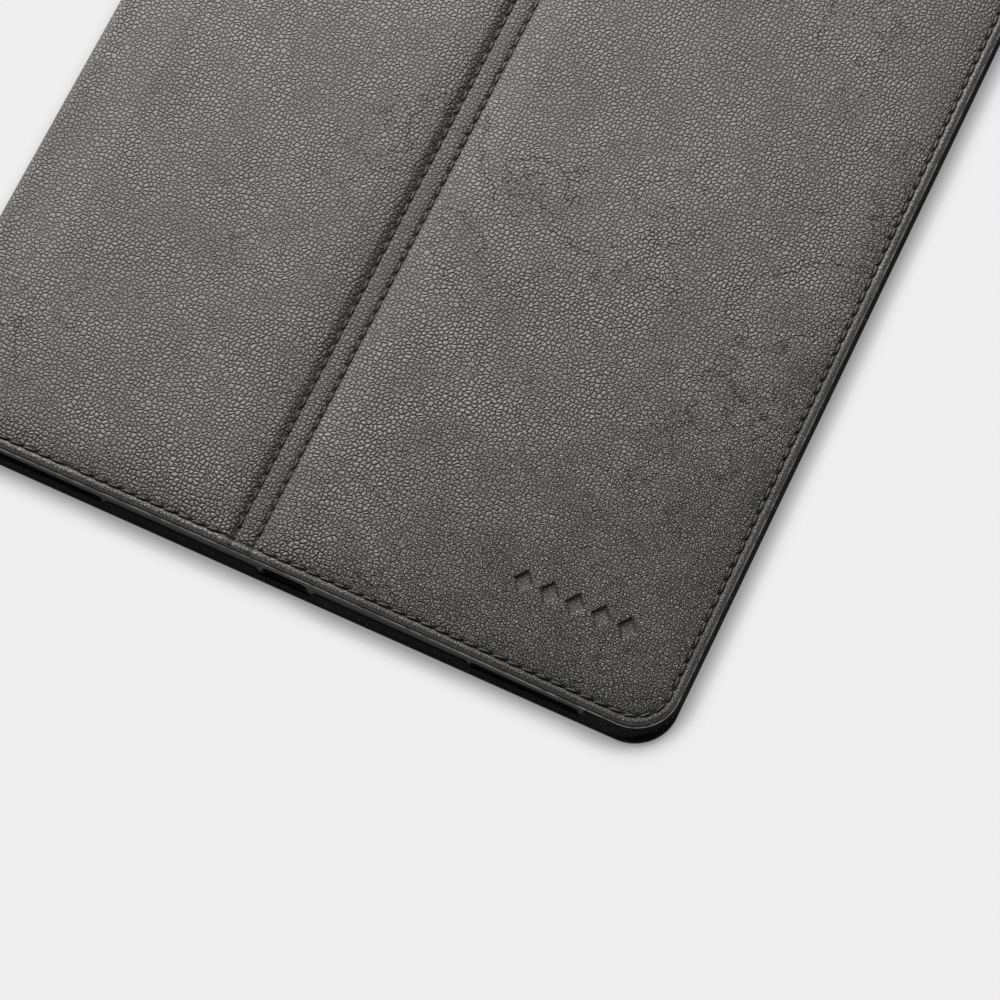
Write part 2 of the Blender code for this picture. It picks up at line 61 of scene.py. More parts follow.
# The closed case in millimetres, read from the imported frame
frontHigh = boxMm("wide_panel_leather")[1]
spineLow = boxMm("spine_leather")[0]
case = {
    "left": float(spineLow[0]),
    "right": float(frontHigh[0]),
    "halfLength": float(frontHigh[1]),
    "top": float(frontHigh[2]),
    "spineRound": 2.4,       # outer radius where the spine meets each cover
    "corner": 10.0,          # plan radius of the covers' free corners
    "panelCut": -49.3,       # where the narrow panel's skin is divided, on its flat part
    "besideFold": (-13.0, -3.4),     # where the two panels' even lines stop beside the strip
}
seam = {
    "pitch": 3.4,
    "inset": 2.0,
    "marks": (0.0, 0.4, 1.25, 2.15, 3.0),   # grid lines in each pitch, closest beside the hole
    "backMarks": (0.0, 0.45, 2.95),         # fewer on the back
    "holeDepth": 0.30,
    "holeAlong": 0.33,
    "holeAcross": 0.32,
    "threadRadius": 0.31,
    "slant": 0.10,
}
bow = {"rise": 1.3, "centre": 5.0, "reach": 74.0, "power": 1.2}   # the front cover arches up a little
fold = {
    "middle": -8.0,
    "inner": -10.35,         # the two rows of stitches along the strip
    "outer": -5.62,
    "holeAcross": 0.3,
    "stations": (-12.9, -12.4, -12.0, -11.65, -11.35, -11.1, -10.85, -10.6, -10.35, -10.1, -9.85,
                 -9.55, -9.2, -8.8, -8.4, -8.0),
    "outerStations": (-8.0, -7.6, -7.2, -6.8, -6.45, -6.15, -5.87, -5.62, -5.37, -5.15, -4.95,
                      -4.75, -4.5, -4.2, -3.8, -3.4),
    "x": (-13.0, -12.3, -11.7, -11.3, -10.95, -10.65, -10.35, -10.05, -9.7, -9.2, -8.0,
          -6.8, -6.3, -5.95, -5.62, -5.32, -5.08, -4.85, -4.5, -4.0, -3.3),
    "z": (0.0, -0.06, -0.22, -0.46, -0.78, -1.0, -1.08, -0.98, -0.74, -0.58, -0.50,
          -0.58, -0.74, -0.98, -1.08, -0.98, -0.72, -0.40, -0.10, 0.02, 0.0),
}
# How the front skin turns over its edge, from under the lip to the flat: inwards, and down from the face
frontEdge = (
    (2.6, -2.62), (1.2, -2.70), (0.4, -2.72), (0.12, -2.68), (0.0, -2.56), (0.0, -2.42), (0.08, -2.32),
    (0.24, -2.26), (0.36, -2.10), (0.32, -1.75), (0.24, -1.35), (0.20, -1.0), (0.24, -0.70), (0.38, -0.42),
    (0.6, -0.22), (0.85, -0.12), (1.1, -0.10), (1.35, -0.16), (1.6, -0.34), (1.8, -0.56),
    (2.0, -0.66), (2.2, -0.60), (2.45, -0.46), (2.8, -0.38), (3.3, -0.34), (4.1, -0.28),
    (5.0, -0.21), (6.0, -0.14), (7.0, -0.08), (8.0, -0.04), (9.0, -0.01), (10.0, 0.0),
)
backEdge = (
    (3.0, -1.95), (1.6, -1.95), (0.7, -1.95), (0.25, -1.88), (0.04, -1.7), (0.0, -1.4), (0.0, -1.0),
    (0.05, -0.66),
    (0.22, -0.34), (0.5, -0.12), (0.8, -0.03), (1.1, 0.0), (1.4, -0.10), (1.65, -0.36), (1.85, -0.50),
    (2.0, -0.55), (2.15, -0.50), (2.4, -0.32), (2.8, -0.06), (3.5, 0.0), (4.5, 0.0), (5.8, 0.0),
    (7.2, 0.0), (8.6, 0.0), (10.0, 0.0),
)


def bowAt(x):
    t = np.clip(np.abs(np.asarray(x, float) - bow["centre"]) / bow["reach"], 0, 1)
    return bow["rise"] * (1 - t * t) ** bow["power"]


def foldAt(x):
    return np.interp(x, fold["x"], fold["z"])


# A path runs along the back from the free edge, round the spine and along the front.
# On each cover its position is x; past the spine's rounded corner it goes on along the leather.
def frontPlace(s, h):
    bend = case["left"] + case["spineRound"]
    r = case["spineRound"]
    a = np.clip((bend - s) / r, 0, math.pi / 2)
    down = np.clip((bend - s) - r * math.pi / 2, 0, None)
    x = np.where(s > bend, s, bend - (r + h) * np.sin(a))
    z = np.where(s > bend, case["top"] + h, case["top"] - r + (r + h) * np.cos(a) - down)
    return x, z


def backPlace(s, h):
    x, z = frontPlace(s, h)
    return x, case["top"] - z


def seamMarks(low, high, extra=(), places="marks"):
    first = math.floor(low / seam["pitch"]) - 1
    last = math.ceil(high / seam["pitch"]) + 1
    marks = {round(n * seam["pitch"] + m, 4) for n in range(first, last) for m in seam[places]}
    kept = sorted(p for p in marks if low + 0.25 < p < high - 0.25)
    for p in extra:
        if low + 0.25 < p < high - 0.25 and min(abs(p - k) for k in kept) > 0.14:
            kept.append(p)
    return sorted(kept)


def sheetGrid(stations, lines, rows, freeEdge):
    # rings run in from the edges; a free edge has rounded corners, so its rings are concentric there
    half = case["halfLength"]
    ringCount = len(rows)
    r0 = case["corner"]
    sEnd = case["right"]
    xs = [(s, None) for s in stations]
    if freeEdge:
        xs += [(sEnd - rows[k][0], k) for k in range(ringCount - 1, -1, -1)]
    ys = [(-half + rows[k][0], k, -1) for k in range(ringCount)]
    ys += [(y, None, 0) for y in lines]
    ys += [(half - rows[k][0], k, 1) for k in range(ringCount - 1, -1, -1)]
    nx, ny = len(xs), len(ys)
    s = np.zeros((nx, ny))
    y = np.zeros((nx, ny))
    ring = np.full((nx, ny), ringCount)
    alongY = np.zeros((nx, ny), bool)
    # the same point on the flat hide, before its edge was turned over
    run = [math.dist(rows[k], rows[k + 1]) for k in range(ringCount - 1)]
    spread = [rows[-1][0] - sum(run[k:]) for k in range(ringCount)]
    hide = np.zeros((nx, ny, 2))
    for i, (sx, kx) in enumerate(xs):
        for j, (yy, ky, side) in enumerate(ys):
            s[i, j], y[i, j] = sx, yy
            flatX = sx if kx is None else sEnd - spread[kx]
            flatY = yy if ky is None else side * (half - spread[ky])
            hide[i, j] = (flatX, flatY)
            if kx is None and ky is None:
                continue
            if kx is None or ky is None:
                ring[i, j] = ky if kx is None else kx
                alongY[i, j] = ky is None
                continue
            k, m = min(kx, ky), max(kx, ky)
            ring[i, j] = k
            r = r0 - rows[k][0]
            t = (m - k) / (ringCount - 1 - k) if k < ringCount - 1 else 0.0
            a = math.pi / 4 * (1 - t if kx < ky else 1 + t)
            s[i, j] = sEnd - r0 + r * math.cos(a)
            y[i, j] = side * (half - r0 + r * math.sin(a))
            flatRound = r0 - spread[k]
            hide[i, j] = (sEnd - r0 + flatRound * math.cos(a), side * (half - r0 + flatRound * math.sin(a)))
            alongY[i, j] = True
    rowsArray = np.array(list(rows) + [(99.0, 0.0)])
    h = rowsArray[ring][..., 1]
    d = rowsArray[ring][..., 0]
    corner = np.array([[kx is not None and ky is not None for (_, ky, _) in ys] for (_, kx) in xs])
    return s, y, d, h, ring, alongY, corner, hide


def pitchGap(v):
    return np.abs(v - np.round(v / seam["pitch"]) * seam["pitch"])


def holes(s, y, d, ring, alongY, corner, rows):
    # the needle holes, one at each end of a stitch
    along = np.where(alongY, y, s)
    across = (d - seam["inset"]) / seam["holeAcross"]
    inRow = (ring < len(rows)) & (np.abs(d - seam["inset"]) < 0.7) & ~corner
    depth = np.exp(-((pitchGap(along) / seam["holeAlong"]) ** 2) - across ** 2)
    upper = np.array([r[1] > -1.0 for r in rows] + [True])[ring]
    return np.where(inRow & upper, -seam["holeDepth"] * depth, 0.0)


def meshObject(name, verts, faces):
    mesh = bpy.data.meshes.new(name)
    mesh.from_pydata([tuple(v) for v in (np.asarray(verts) * mm)], [], faces)
    mesh.validate()
    mesh.update()
    piece = bpy.data.objects.new(name, mesh)
    bpy.context.scene.collection.objects.link(piece)
    mesh.shade_smooth()
    return piece


def gridFaces(nx, ny, flip=False):
    index = np.arange(nx * ny).reshape(nx, ny)
    a, b, c, d = index[:-1, :-1], index[1:, :-1], index[1:, 1:], index[:-1, 1:]
    quads = np.stack((a, b, c, d) if not flip else (d, c, b, a), -1).reshape(-1, 4)
    return [tuple(int(v) for v in q) for q in quads]


def storePlace(piece):
    mesh = piece.data
    places = np.zeros(len(mesh.vertices) * 3, np.float32)
    mesh.vertices.foreach_get("co", places)
    attribute = mesh.attributes.get("restPlace")
    attribute = attribute or mesh.attributes.new("restPlace", "FLOAT_VECTOR", "POINT")
    attribute.data.foreach_set("vector", places / mm)


def give(piece, material, marks=None):
    piece.data.materials.clear()
    piece.data.materials.append(material)
    storePlace(piece)
    for name, values in (marks or {}).items():
        values = np.asarray(values, np.float32)
        kind = "FLOAT_VECTOR" if values.shape[-1] == 3 and values.ndim == 3 else "FLOAT"
        attribute = piece.data.attributes.new(name, kind, "POINT")
        attribute.data.foreach_set("vector" if kind == "FLOAT_VECTOR" else "value", values.ravel())


def solid(piece):
    # takes the modifiers into the mesh
    bpy.context.view_layer.update()
    graph = bpy.context.evaluated_depsgraph_get()
    mesh = bpy.data.meshes.new_from_object(piece.evaluated_get(graph))
    piece.modifiers.clear()
    old = piece.data
    piece.data = mesh
    mesh.name = piece.name
    bpy.data.meshes.remove(old)
    return piece


def newMaterial(name, moves=True):
    # a piece that bends keeps its pattern by its rest place; a frame's own part has its object's
    material = bpy.data.materials.new(name)
    material.use_nodes = True
    tree = material.node_tree
    shader = tree.nodes["Principled BSDF"]
    if moves:
        return material, tree, shader, attributeNode(tree, "restPlace", "Vector")
    place = tree.nodes.new("ShaderNodeTexCoord")
    return material, tree, shader, vectorNode(tree, "SCALE", place.outputs["Object"], 1 / mm)


def attributeNode(tree, name, output):
    node = tree.nodes.new("ShaderNodeAttribute")
    node.attribute_name = name
    return node.outputs[output]


def vectorNode(tree, operation, vector, by, add=None):
    node = tree.nodes.new("ShaderNodeVectorMath")
    node.operation = operation
    tree.links.new(vector, node.inputs[0])
    if operation == "SCALE":
        node.inputs["Scale"].default_value = by
    else:
        node.inputs[1].default_value = by
    if add is not None:
        tree.links.new(add, node.inputs[2])
    return node.outputs["Value" if operation == "DOT_PRODUCT" else "Vector"]


def mathNode(tree, operation, a, b=None, clamp=False):
    node = tree.nodes.new("ShaderNodeMath")
    node.operation = operation
    node.use_clamp = clamp
    for socket, value in zip(node.inputs, (a, b)):
        if value is None:
            continue
        if isinstance(value, (int, float)):
            socket.default_value = value
        else:
            tree.links.new(value, socket)
    return node.outputs[0]


def noiseNode(tree, vector, scale, detail=2.0, roughness=0.5, output="Fac"):
    node = tree.nodes.new("ShaderNodeTexNoise")
    node.noise_type = "FBM"
    node.normalize = True
    node.inputs["Scale"].default_value = scale
    node.inputs["Detail"].default_value = detail
    node.inputs["Roughness"].default_value = roughness
    tree.links.new(vector, node.inputs["Vector"])
    return node.outputs[output]


def rampNode(tree, value, low, high, toLow=0.0, toHigh=1.0):
    node = tree.nodes.new("ShaderNodeMapRange")
    node.interpolation_type = "SMOOTHSTEP"
    for socket, number in zip(("From Min", "From Max", "To Min", "To Max"), (low, high, toLow, toHigh)):
        node.inputs[socket].default_value = number
    tree.links.new(value, node.inputs["Value"])
    return node.outputs["Result"]


def cellNode(tree, vector, scale):
    node = tree.nodes.new("ShaderNodeTexVoronoi")
    node.feature = "DISTANCE_TO_EDGE"
    node.voronoi_dimensions = "2D"
    node.inputs["Randomness"].default_value = 0.82
    node.inputs["Scale"].default_value = scale
    tree.links.new(vector, node.inputs["Vector"])
    return node.outputs["Distance"]


def mixColour(tree, factor, a, b):
    node = tree.nodes.new("ShaderNodeMix")
    node.data_type = "RGBA"
    tree.links.new(factor, node.inputs["Factor"])
    for name, value in (("A", a), ("B", b)):
        socket = [s for s in node.inputs if s.name == name and s.type == "RGBA"][0]
        if isinstance(value, tuple):
            socket.default_value = (*value, 1.0)
        else:
            tree.links.new(value, socket)
    return [s for s in node.outputs if s.type == "RGBA"][0]


def bumpNode(tree, shader, height, distance, strength=1.0):
    node = tree.nodes.new("ShaderNodeBump")
    node.inputs["Strength"].default_value = strength
    node.inputs["Distance"].default_value = distance
    tree.links.new(height, node.inputs["Height"])
    tree.links.new(node.outputs["Normal"], shader.inputs["Normal"])


leatherLook = {
    "face": (0.136, 0.1273, 0.1192),
    # the dark end of the colour, reached where the painted shade in channels, creases and stitch rows is
    # full
    "darkToneAndPaintedShade": (0.0045, 0.0042, 0.0040),
    "roughness": 0.47,
    "cell": 0.98,            # pebbles in each millimetre
    "fineCell": 1.65,
    "relief": 0.30,          # bump height in millimetres
    "finer": (0.0055, -0.0040, 0.0),     # the way that the grain gets finer, to the free lower corner
    # along this way the colour also gets lighter: towards the key light's side it is darkened, painted
    # shade that evens out the light
    "deeperGrainLessPaintedShade": (0.0036, -0.0040, 0.0),    # the way that it gets deeper
}


def leatherMaterial():
    material, tree, shader, _ = newMaterial("pebbledLeather")
    hide = attributeNode(tree, "hidePlace", "Vector")
    burnish = attributeNode(tree, "burnish", "Fac")
    # seamShade carries the painted shade of the stitch rows, the turned edge and the stamped mark, and the
    # strip's darker tone
    row = attributeNode(tree, "seamShade", "Fac")

    def times(a, b):
        return mathNode(tree, "MULTIPLY", a, b)

    def less(a, b, clamp=False):
        return mathNode(tree, "SUBTRACT", a, b, clamp)

    wander = noiseNode(tree, hide, 0.35, output="Color")
    drawn = vectorNode(tree, "MULTIPLY_ADD", wander, (1.4, 1.4, 0.0), hide)
    cells = cellNode(tree, drawn, leatherLook["cell"])
    fine = cellNode(tree, drawn, leatherLook["fineCell"])
    finer = vectorNode(tree, "DOT_PRODUCT", hide, leatherLook["finer"])
    deeperGrainLessPaintedShade = vectorNode(tree, "DOT_PRODUCT", hide, leatherLook["deeperGrainLessPaintedShade"])
    # pebbles of two sizes, mixed in patches, with pores on them
    smallPatch = rampNode(tree, noiseNode(tree, hide, 0.10, 3.0), 0.38, 0.62, 0.10, 0.42)
    smallShare = mathNode(tree, "ADD", smallPatch, rampNode(tree, finer, 0.35, 0.85, 0.0, 0.62), True)
    big = times(rampNode(tree, cells, 0.0, 0.34), less(1.0, smallShare))
    grains = mathNode(tree, "ADD", big, times(rampNode(tree, fine, 0.0, 0.30), smallShare))
    pored = mathNode(tree, "ADD", grains, times(noiseNode(tree, hide, 3.4, 2.0, 0.6), 0.30))
    # long soft creases where the hide has been drawn, stronger in some places
    line = mathNode(tree, "ABSOLUTE", less(noiseNode(tree, hide, 0.045, 4.0, 0.60), 0.5))
    creaseShare = rampNode(tree, noiseNode(tree, hide, 0.017, 1.0), 0.45, 0.62, 0.0, 0.50)
    creases = times(rampNode(tree, line, 0.0, 0.012, 1.0, 0.0), creaseShare)
    height = times(less(pored, creases), rampNode(tree, deeperGrainLessPaintedShade, 0.10, 0.75, 0.66, 1.55))
    bumpNode(tree, shader, times(height, less(1.0, burnish, True)), leatherLook["relief"] * mm)
    # painted shade: darker in the channels between the pebbles, in the creases and in the stitch rows
    fineDark = times(less(1.0, rampNode(tree, fine, 0.04, 0.21)), smallShare)
    channels = times(rampNode(tree, cells, 0.03, 0.19), less(1.0, fineDark))
    channels = less(1.0, times(less(1.0, channels), rampNode(tree, deeperGrainLessPaintedShade, 0.10, 0.60, 0.86, 1.0)))
    shade = less(channels, times(creases, 0.9), True)
    plain = mathNode(tree, "MAXIMUM", shade, times(burnish, 0.5))
    mottle = rampNode(tree, noiseNode(tree, hide, 0.035, 4.0, 0.6), 0.3, 0.7, 0.80, 1.0)
    # painted shade: the colour is darker towards the key light's side, on top of the random mottle
    mottleAndPaintedShade = times(mottle, rampNode(tree, deeperGrainLessPaintedShade, 0.0, 0.55, 0.70, 1.0))
    tone = times(times(plain, mottleAndPaintedShade), less(1.0, row, True))
    colour = mixColour(tree, tone, leatherLook["darkToneAndPaintedShade"], leatherLook["face"])
    tree.links.new(colour, shader.inputs["Base Color"])
    rough = leatherLook["roughness"]
    tree.links.new(rampNode(tree, tone, 0.0, 1.0, rough + 0.30, rough), shader.inputs["Roughness"])
    return material


# Finishes in two tones of one noise. grain is the noise's scale, detail and roughness, bump is in
# millimetres, and tone is the part of the noise that the colours run over.
finishes = {
    # painted shade: the turned edge's side is near black, a shaded copy of the leather
    "paintedShadeEdge": {
        "grain": (1.8, 3.0, 0.6), "bump": 0.05, "tone": (0.3, 0.7), "roughness": 0.6, "specular": 0.10,
        "colours": ((0.003, 0.003, 0.003), (0.007, 0.007, 0.0068)),
    },
    # painted highlight: the lip's light grey stands for the light that it catches; its gloss is its own
    "burnishedLipPaintedHighlight": {
        "grain": (0.5, 3.0, 0.6), "tone": (0.35, 0.65), "roughness": (0.3, 0.7, 0.42, 0.26),
        "colours": ((0.13, 0.13, 0.13), (0.40, 0.40, 0.39)),
    },
    "napHair": {
        "grain": (0.9,), "tone": (0.45, 0.75), "roughness": 0.6,
        "colours": ((0.004, 0.004, 0.0042), (0.40, 0.40, 0.39)),
    },
    "seamThread": {
        "grain": (7.0, 3.0, 0.6), "bump": 0.12, "tone": (0.35, 0.7), "roughness": 0.5,
        "colours": ((0.003, 0.003, 0.0032), (0.014, 0.014, 0.0145)),
    },
    "greyBoard": {
        "grain": (1.6, 5.0, 0.7), "bump": 0.05, "roughness": 0.85, "moves": False,
        "colours": ((0.16, 0.15, 0.14), (0.30, 0.29, 0.26)),
    },
    "foamTape": {
        "grain": (2.4, 3.0), "bump": 0.03, "roughness": 0.6, "moves": False,
        "colours": ((0.48, 0.48, 0.45), (0.60, 0.60, 0.57)),
    },
    "nickelPlate": {
        "grain": (0.8, 3.0), "bump": 0.01, "roughness": (0.3, 0.7, 0.2, 0.34), "metallic": 1.0,
        "moves": False, "colours": ((0.56, 0.55, 0.53), (0.66, 0.65, 0.63)),
    },
}


def twoToneMaterial(name):
    look = finishes[name]
    material, tree, shader, place = newMaterial(name, look.get("moves", True))
    grain = noiseNode(tree, place, *look["grain"])
    if "bump" in look:
        bumpNode(tree, shader, grain, look["bump"] * mm)
    tone = rampNode(tree, grain, *look["tone"]) if "tone" in look else grain
    tree.links.new(mixColour(tree, tone, *look["colours"]), shader.inputs["Base Color"])
    if isinstance(look["roughness"], tuple):
        tree.links.new(rampNode(tree, grain, *look["roughness"]), shader.inputs["Roughness"])
    else:
        shader.inputs["Roughness"].default_value = look["roughness"]
    shader.inputs["Metallic"].default_value = look.get("metallic", 0.0)
    if "specular" in look:
        shader.inputs["Specular IOR Level"].default_value = look["specular"]
    return material


def liningMaterial():
    material, tree, shader, place = newMaterial("microfibreLining")
    nap = noiseNode(tree, place, 3.5, 4.0, 0.7)
    brushed = noiseNode(tree, place, 0.06, 3.0, 0.6)
    height = mathNode(tree, "ADD", nap, mathNode(tree, "MULTIPLY", brushed, 0.8))
    bumpNode(tree, shader, height, 0.30 * mm)
    tone = rampNode(tree, height, 0.6, 1.2)
    colour = mixColour(tree, tone, (0.0012, 0.0012, 0.0013), (0.006, 0.006, 0.0063))
    tree.links.new(colour, shader.inputs["Base Color"])
    shader.inputs["Roughness"].default_value = 0.95
    shader.inputs["Specular IOR Level"].default_value = 0.04
    shader.inputs["Sheen Weight"].default_value = 0.02
    shader.inputs["Sheen Roughness"].default_value = 0.6
    return material


def plasticMaterial():
    material, tree, shader, place = newMaterial("satinPlastic")
    bumpNode(tree, shader, noiseNode(tree, place, 4.0), 0.02 * mm)
    tone = rampNode(tree, noiseNode(tree, place, 0.05), 0.3, 0.7)
    colour = mixColour(tree, tone, (0.008, 0.0083, 0.0087), (0.012, 0.0125, 0.013))
    tree.links.new(colour, shader.inputs["Base Color"])
    shader.inputs["Roughness"].default_value = 0.55
    shader.inputs["Specular IOR Level"].default_value = 0.16
    return material


leather = leatherMaterial()
lining = liningMaterial()
plastic = plasticMaterial()
paintedShadeEdge, lipPaintedHighlight, hair, thread, board, tape, nickel = (twoToneMaterial(name) for name in finishes)
print("finishes made")


mark = {   # a plain blind-stamped row of lozenges near the free corner
    "centre": (62.7, -107.8),
    "count": 5,
    "step": 6.1,
    "half": (2.45, 3.1),
    "side": 0.50,            # how far its sides slope
    "depth": 0.62,
    "fine": 0.24,            # closer grid lines here
    "fineX": (47.0, 78.6),
    "fineY": (-112.0, -103.5),
}


def markDepth(s, y):
    depth = np.zeros_like(s)
    w, l = mark["half"]
    slope = math.hypot(1 / w, 1 / l)
    for n in range(mark["count"]):
        cx = mark["centre"][0] + (n - (mark["count"] - 1) / 2) * mark["step"]
        q = (np.abs(s - cx) / w + np.abs(y - mark["centre"][1]) / l - 1) / slope
        depth = np.maximum(depth, np.clip(-q / mark["side"], 0, 1))
    smooth = depth * depth * (3 - 2 * depth)
    return -mark["depth"] * smooth


def hideWaves(s, y):
    out = np.zeros_like(s)
    flat = out.ravel()
    for n, (a, b) in enumerate(zip(s.ravel(), y.ravel())):
        broad = noise.noise((a / 26.0, b / 26.0, 3.0)) * 0.10
        flat[n] = broad + noise.noise((a / 9.0, b / 9.0, 9.0)) * 0.035
    return out


cushion = {"rise": 1.4, "from": 2.3, "reach": 6.5}      # the padding under the front leather


def cushionAt(s, y, d, ring, rows, freeEdge):
    inward = case["halfLength"] - np.abs(y)
    if freeEdge:
        inward = np.minimum(inward, case["right"] - s)
    inward = np.where(ring < len(rows), d, inward)
    return cushion["rise"] * (1 - np.exp(-np.clip(inward - cushion["from"], 0, None) / cushion["reach"]))


def frontSkin(name, stations, lines, freeEdge):
    s, y, d, h, ring, alongY, corner, hide = sheetGrid(stations, lines, frontEdge, freeEdge)
    body = np.clip((h + 2.2) / 2.0, 0, 1)                # 0 at the lip, 1 on the face
    share = np.clip((d - 0.9) / 1.2, 0, 1) * 0.62 + 0.38
    lift = bowAt(s) + foldAt(s) * body * share
    lift = lift + holes(s, y, d, ring, alongY, corner, frontEdge)
    lift = lift + hideWaves(s, y) * np.clip((d - 2.4) / 6.0, 0, 1) * (s > case["left"] + 6)
    # the padding ends at the strip and at the spine
    beside = np.clip((np.abs(s - fold["middle"]) - 3.6) / 7.0, 0, 1) ** 0.6
    beside = beside * np.clip((s - case["left"] - 6) / 10.0, 0, 1)
    lift = lift + cushionAt(s, y, d, ring, frontEdge, freeEdge) * beside * (h > -1.0)
    if freeEdge:
        lift = lift + markDepth(s, y) * (d > 3)
    # rows of holes along the strip
    for x in (fold["inner"], fold["outer"]):
        gap = np.exp(-(((s - x) / fold["holeAcross"]) ** 2) - (pitchGap(y) / seam["holeAlong"]) ** 2)
        lift = lift - np.where(d > 3.0, seam["holeDepth"] * gap, 0.0)
    soft = np.where(s < case["left"] + 4, 0.74, 1.0)      # the spine is thinner than a cover
    x, z = frontPlace(s, h * soft + lift)
    verts = np.stack((x, y, z), -1).reshape(-1, 3)
    piece = meshObject(name, verts, gridFaces(*s.shape))
    pressed = np.clip(-markDepth(s, y) / mark["depth"], 0, 1) if freeEdge else np.zeros_like(s)
    give(piece, leather, skinMarks(s, d, h, hide, True, pressed))
    finishEdge(piece, h, True)
    return piece


def finishEdge(piece, h, front):
    # the turned edge's side gets a near-black painted shade, and on the front it ends in a fine burnished
    # lip with a painted highlight
    across = (h[:-1, :-1] + h[1:, :-1] + h[1:, 1:] + h[:-1, 1:]).ravel() / 4
    piece.data.materials.append(paintedShadeEdge)
    piece.data.materials.append(lipPaintedHighlight)
    wall = across < (-1.50 if front else -0.55)
    kind = np.where(wall, 1, 0)
    if front:
        kind = np.where((across < -2.2) & (across > -2.62), 2, kind)
    piece.data.polygons.foreach_set("material_index", kind.astype(np.int32))


def skinMarks(s, d, h, hide, front, pressed=0.0):
    # what the leather's finish needs: its place on the flat hide, the painted shade in the rows of
    # stitches, under the turned edge and in the stamped mark, and the burnished edge
    burnish = np.clip(((-0.7 if front else -0.35) - h) / 0.6, 0, 1) * 0.75
    burnish = np.maximum(burnish, np.clip((1.7 - d) / 0.4, 0, 1) * 0.62)     # the edge is drawn smooth
    flat = np.concatenate((hide, np.full(hide.shape[:2] + (1,), 0.0 if front else 40.0)), -1)
    # painted shade in the stamped mark: a little darker in its recess and darkest on its sloping sides
    shade = np.maximum(seamShade(s, d, h, front), 0.30 * pressed + 2.4 * pressed * (1 - pressed))
    return {"seamShade": shade, "burnish": np.maximum(burnish, 0.7 * pressed), "hidePlace": flat}


def seamShade(s, d, h, front):
    # painted shade: the leather is darker down in the stitch rows and under the turned edge
    row = np.clip(1.2 * np.exp(-((d - seam["inset"]) / 0.40) ** 2), 0, 1) * (h > -1.0)
    under = np.clip(((-0.50 if front else -0.45) - h) / 1.0, 0, 1) * (d < 0.7)
    if front:
        under = under * (h > -2.2)
    shade = np.maximum(row * 0.97, under)
    if front:
        # the strip is darker
        shade = np.maximum(shade, 0.28 * (np.abs(s - fold["middle"]) < 2.2))
        # painted shade in the strip's two stitch grooves
        for x in (fold["inner"], fold["outer"]):
            shade = np.maximum(shade, np.clip(1.3 * np.exp(-((s - x) / 0.46) ** 2), 0, 1) * (h > -1.0))
    return shade


def backSkin(name, stations, lines):
    s, y, d, h, ring, alongY, corner, hide = sheetGrid(stations, lines, backEdge, True)
    lift = holes(s, y, d, ring, alongY, corner, backEdge)
    x, z = backPlace(s, h + lift)
    verts = np.stack((x, y, z), -1).reshape(-1, 3)
    piece = meshObject(name, verts, gridFaces(*s.shape, flip=True))
    give(piece, leather, skinMarks(s, d, h, hide, False))
    finishEdge(piece, h, False)
    return piece


halfSeam = case["halfLength"] - case["corner"]
edgeStart = case["left"] + case["spineRound"]
bendEnd = edgeStart - case["spineRound"] * math.pi / 2
spineEnd = bendEnd - (case["top"] / 2 - case["spineRound"])      # halfway up the spine
spineStations = list(np.linspace(spineEnd, bendEnd, 7))
spineStations += list(np.linspace(bendEnd, edgeStart, 12)[1:])
freeEnd = case["right"] - case["corner"]
lineMarks = seamMarks(-halfSeam, halfSeam)

hingeStations = spineStations + seamMarks(edgeStart, case["panelCut"]) + [case["panelCut"]]
hingeSkin = frontSkin("hinge_skin", hingeStations, lineMarks, False)
narrowStations = [case["panelCut"]] + seamMarks(case["panelCut"], case["besideFold"][0])
foldSkinInner = frontSkin("narrow_skin", narrowStations + list(fold["stations"]), lineMarks, False)
wideMarks = seamMarks(case["besideFold"][1], freeEnd, np.arange(*mark["fineX"], mark["fine"]))
wideLines = seamMarks(-halfSeam, halfSeam, np.arange(*mark["fineY"], mark["fine"]))
foldSkinOuter = frontSkin("wide_skin", list(fold["outerStations"]) + wideMarks, wideLines, True)
print("front skins made", *(len(skin.data.vertices) for skin in (hingeSkin, foldSkinInner, foldSkinOuter)))

backStations = spineStations + seamMarks(edgeStart, freeEnd, places="backMarks")
coverBack = backSkin("back_skin", backStations, seamMarks(-halfSeam, halfSeam, places="backMarks"))
cameraHole = {"centre": (76.0, 111.8), "radius": 7.5}


def roundTool(name, centre, radius, z, steps=64):
    verts = []
    for height in z:
        for n in range(steps):
            a = 2 * math.pi * n / steps
            verts.append((centre[0] + radius * math.cos(a), centre[1] + radius * math.sin(a), height))
    faces = [(n, (n + 1) % steps, steps + (n + 1) % steps, steps + n) for n in range(steps)]
    faces += [tuple(range(steps - 1, -1, -1)), tuple(range(steps, 2 * steps))]
    return meshObject(name, verts, faces)


def carve(piece, tools):
    for tool in tools:
        cut = piece.modifiers.new("cut", "BOOLEAN")
        cut.operation = "DIFFERENCE"
        cut.solver = "EXACT"
        cut.object = tool
    solid(piece)
    for tool in tools:
        bpy.data.objects.remove(tool, do_unlink=True)
    return piece


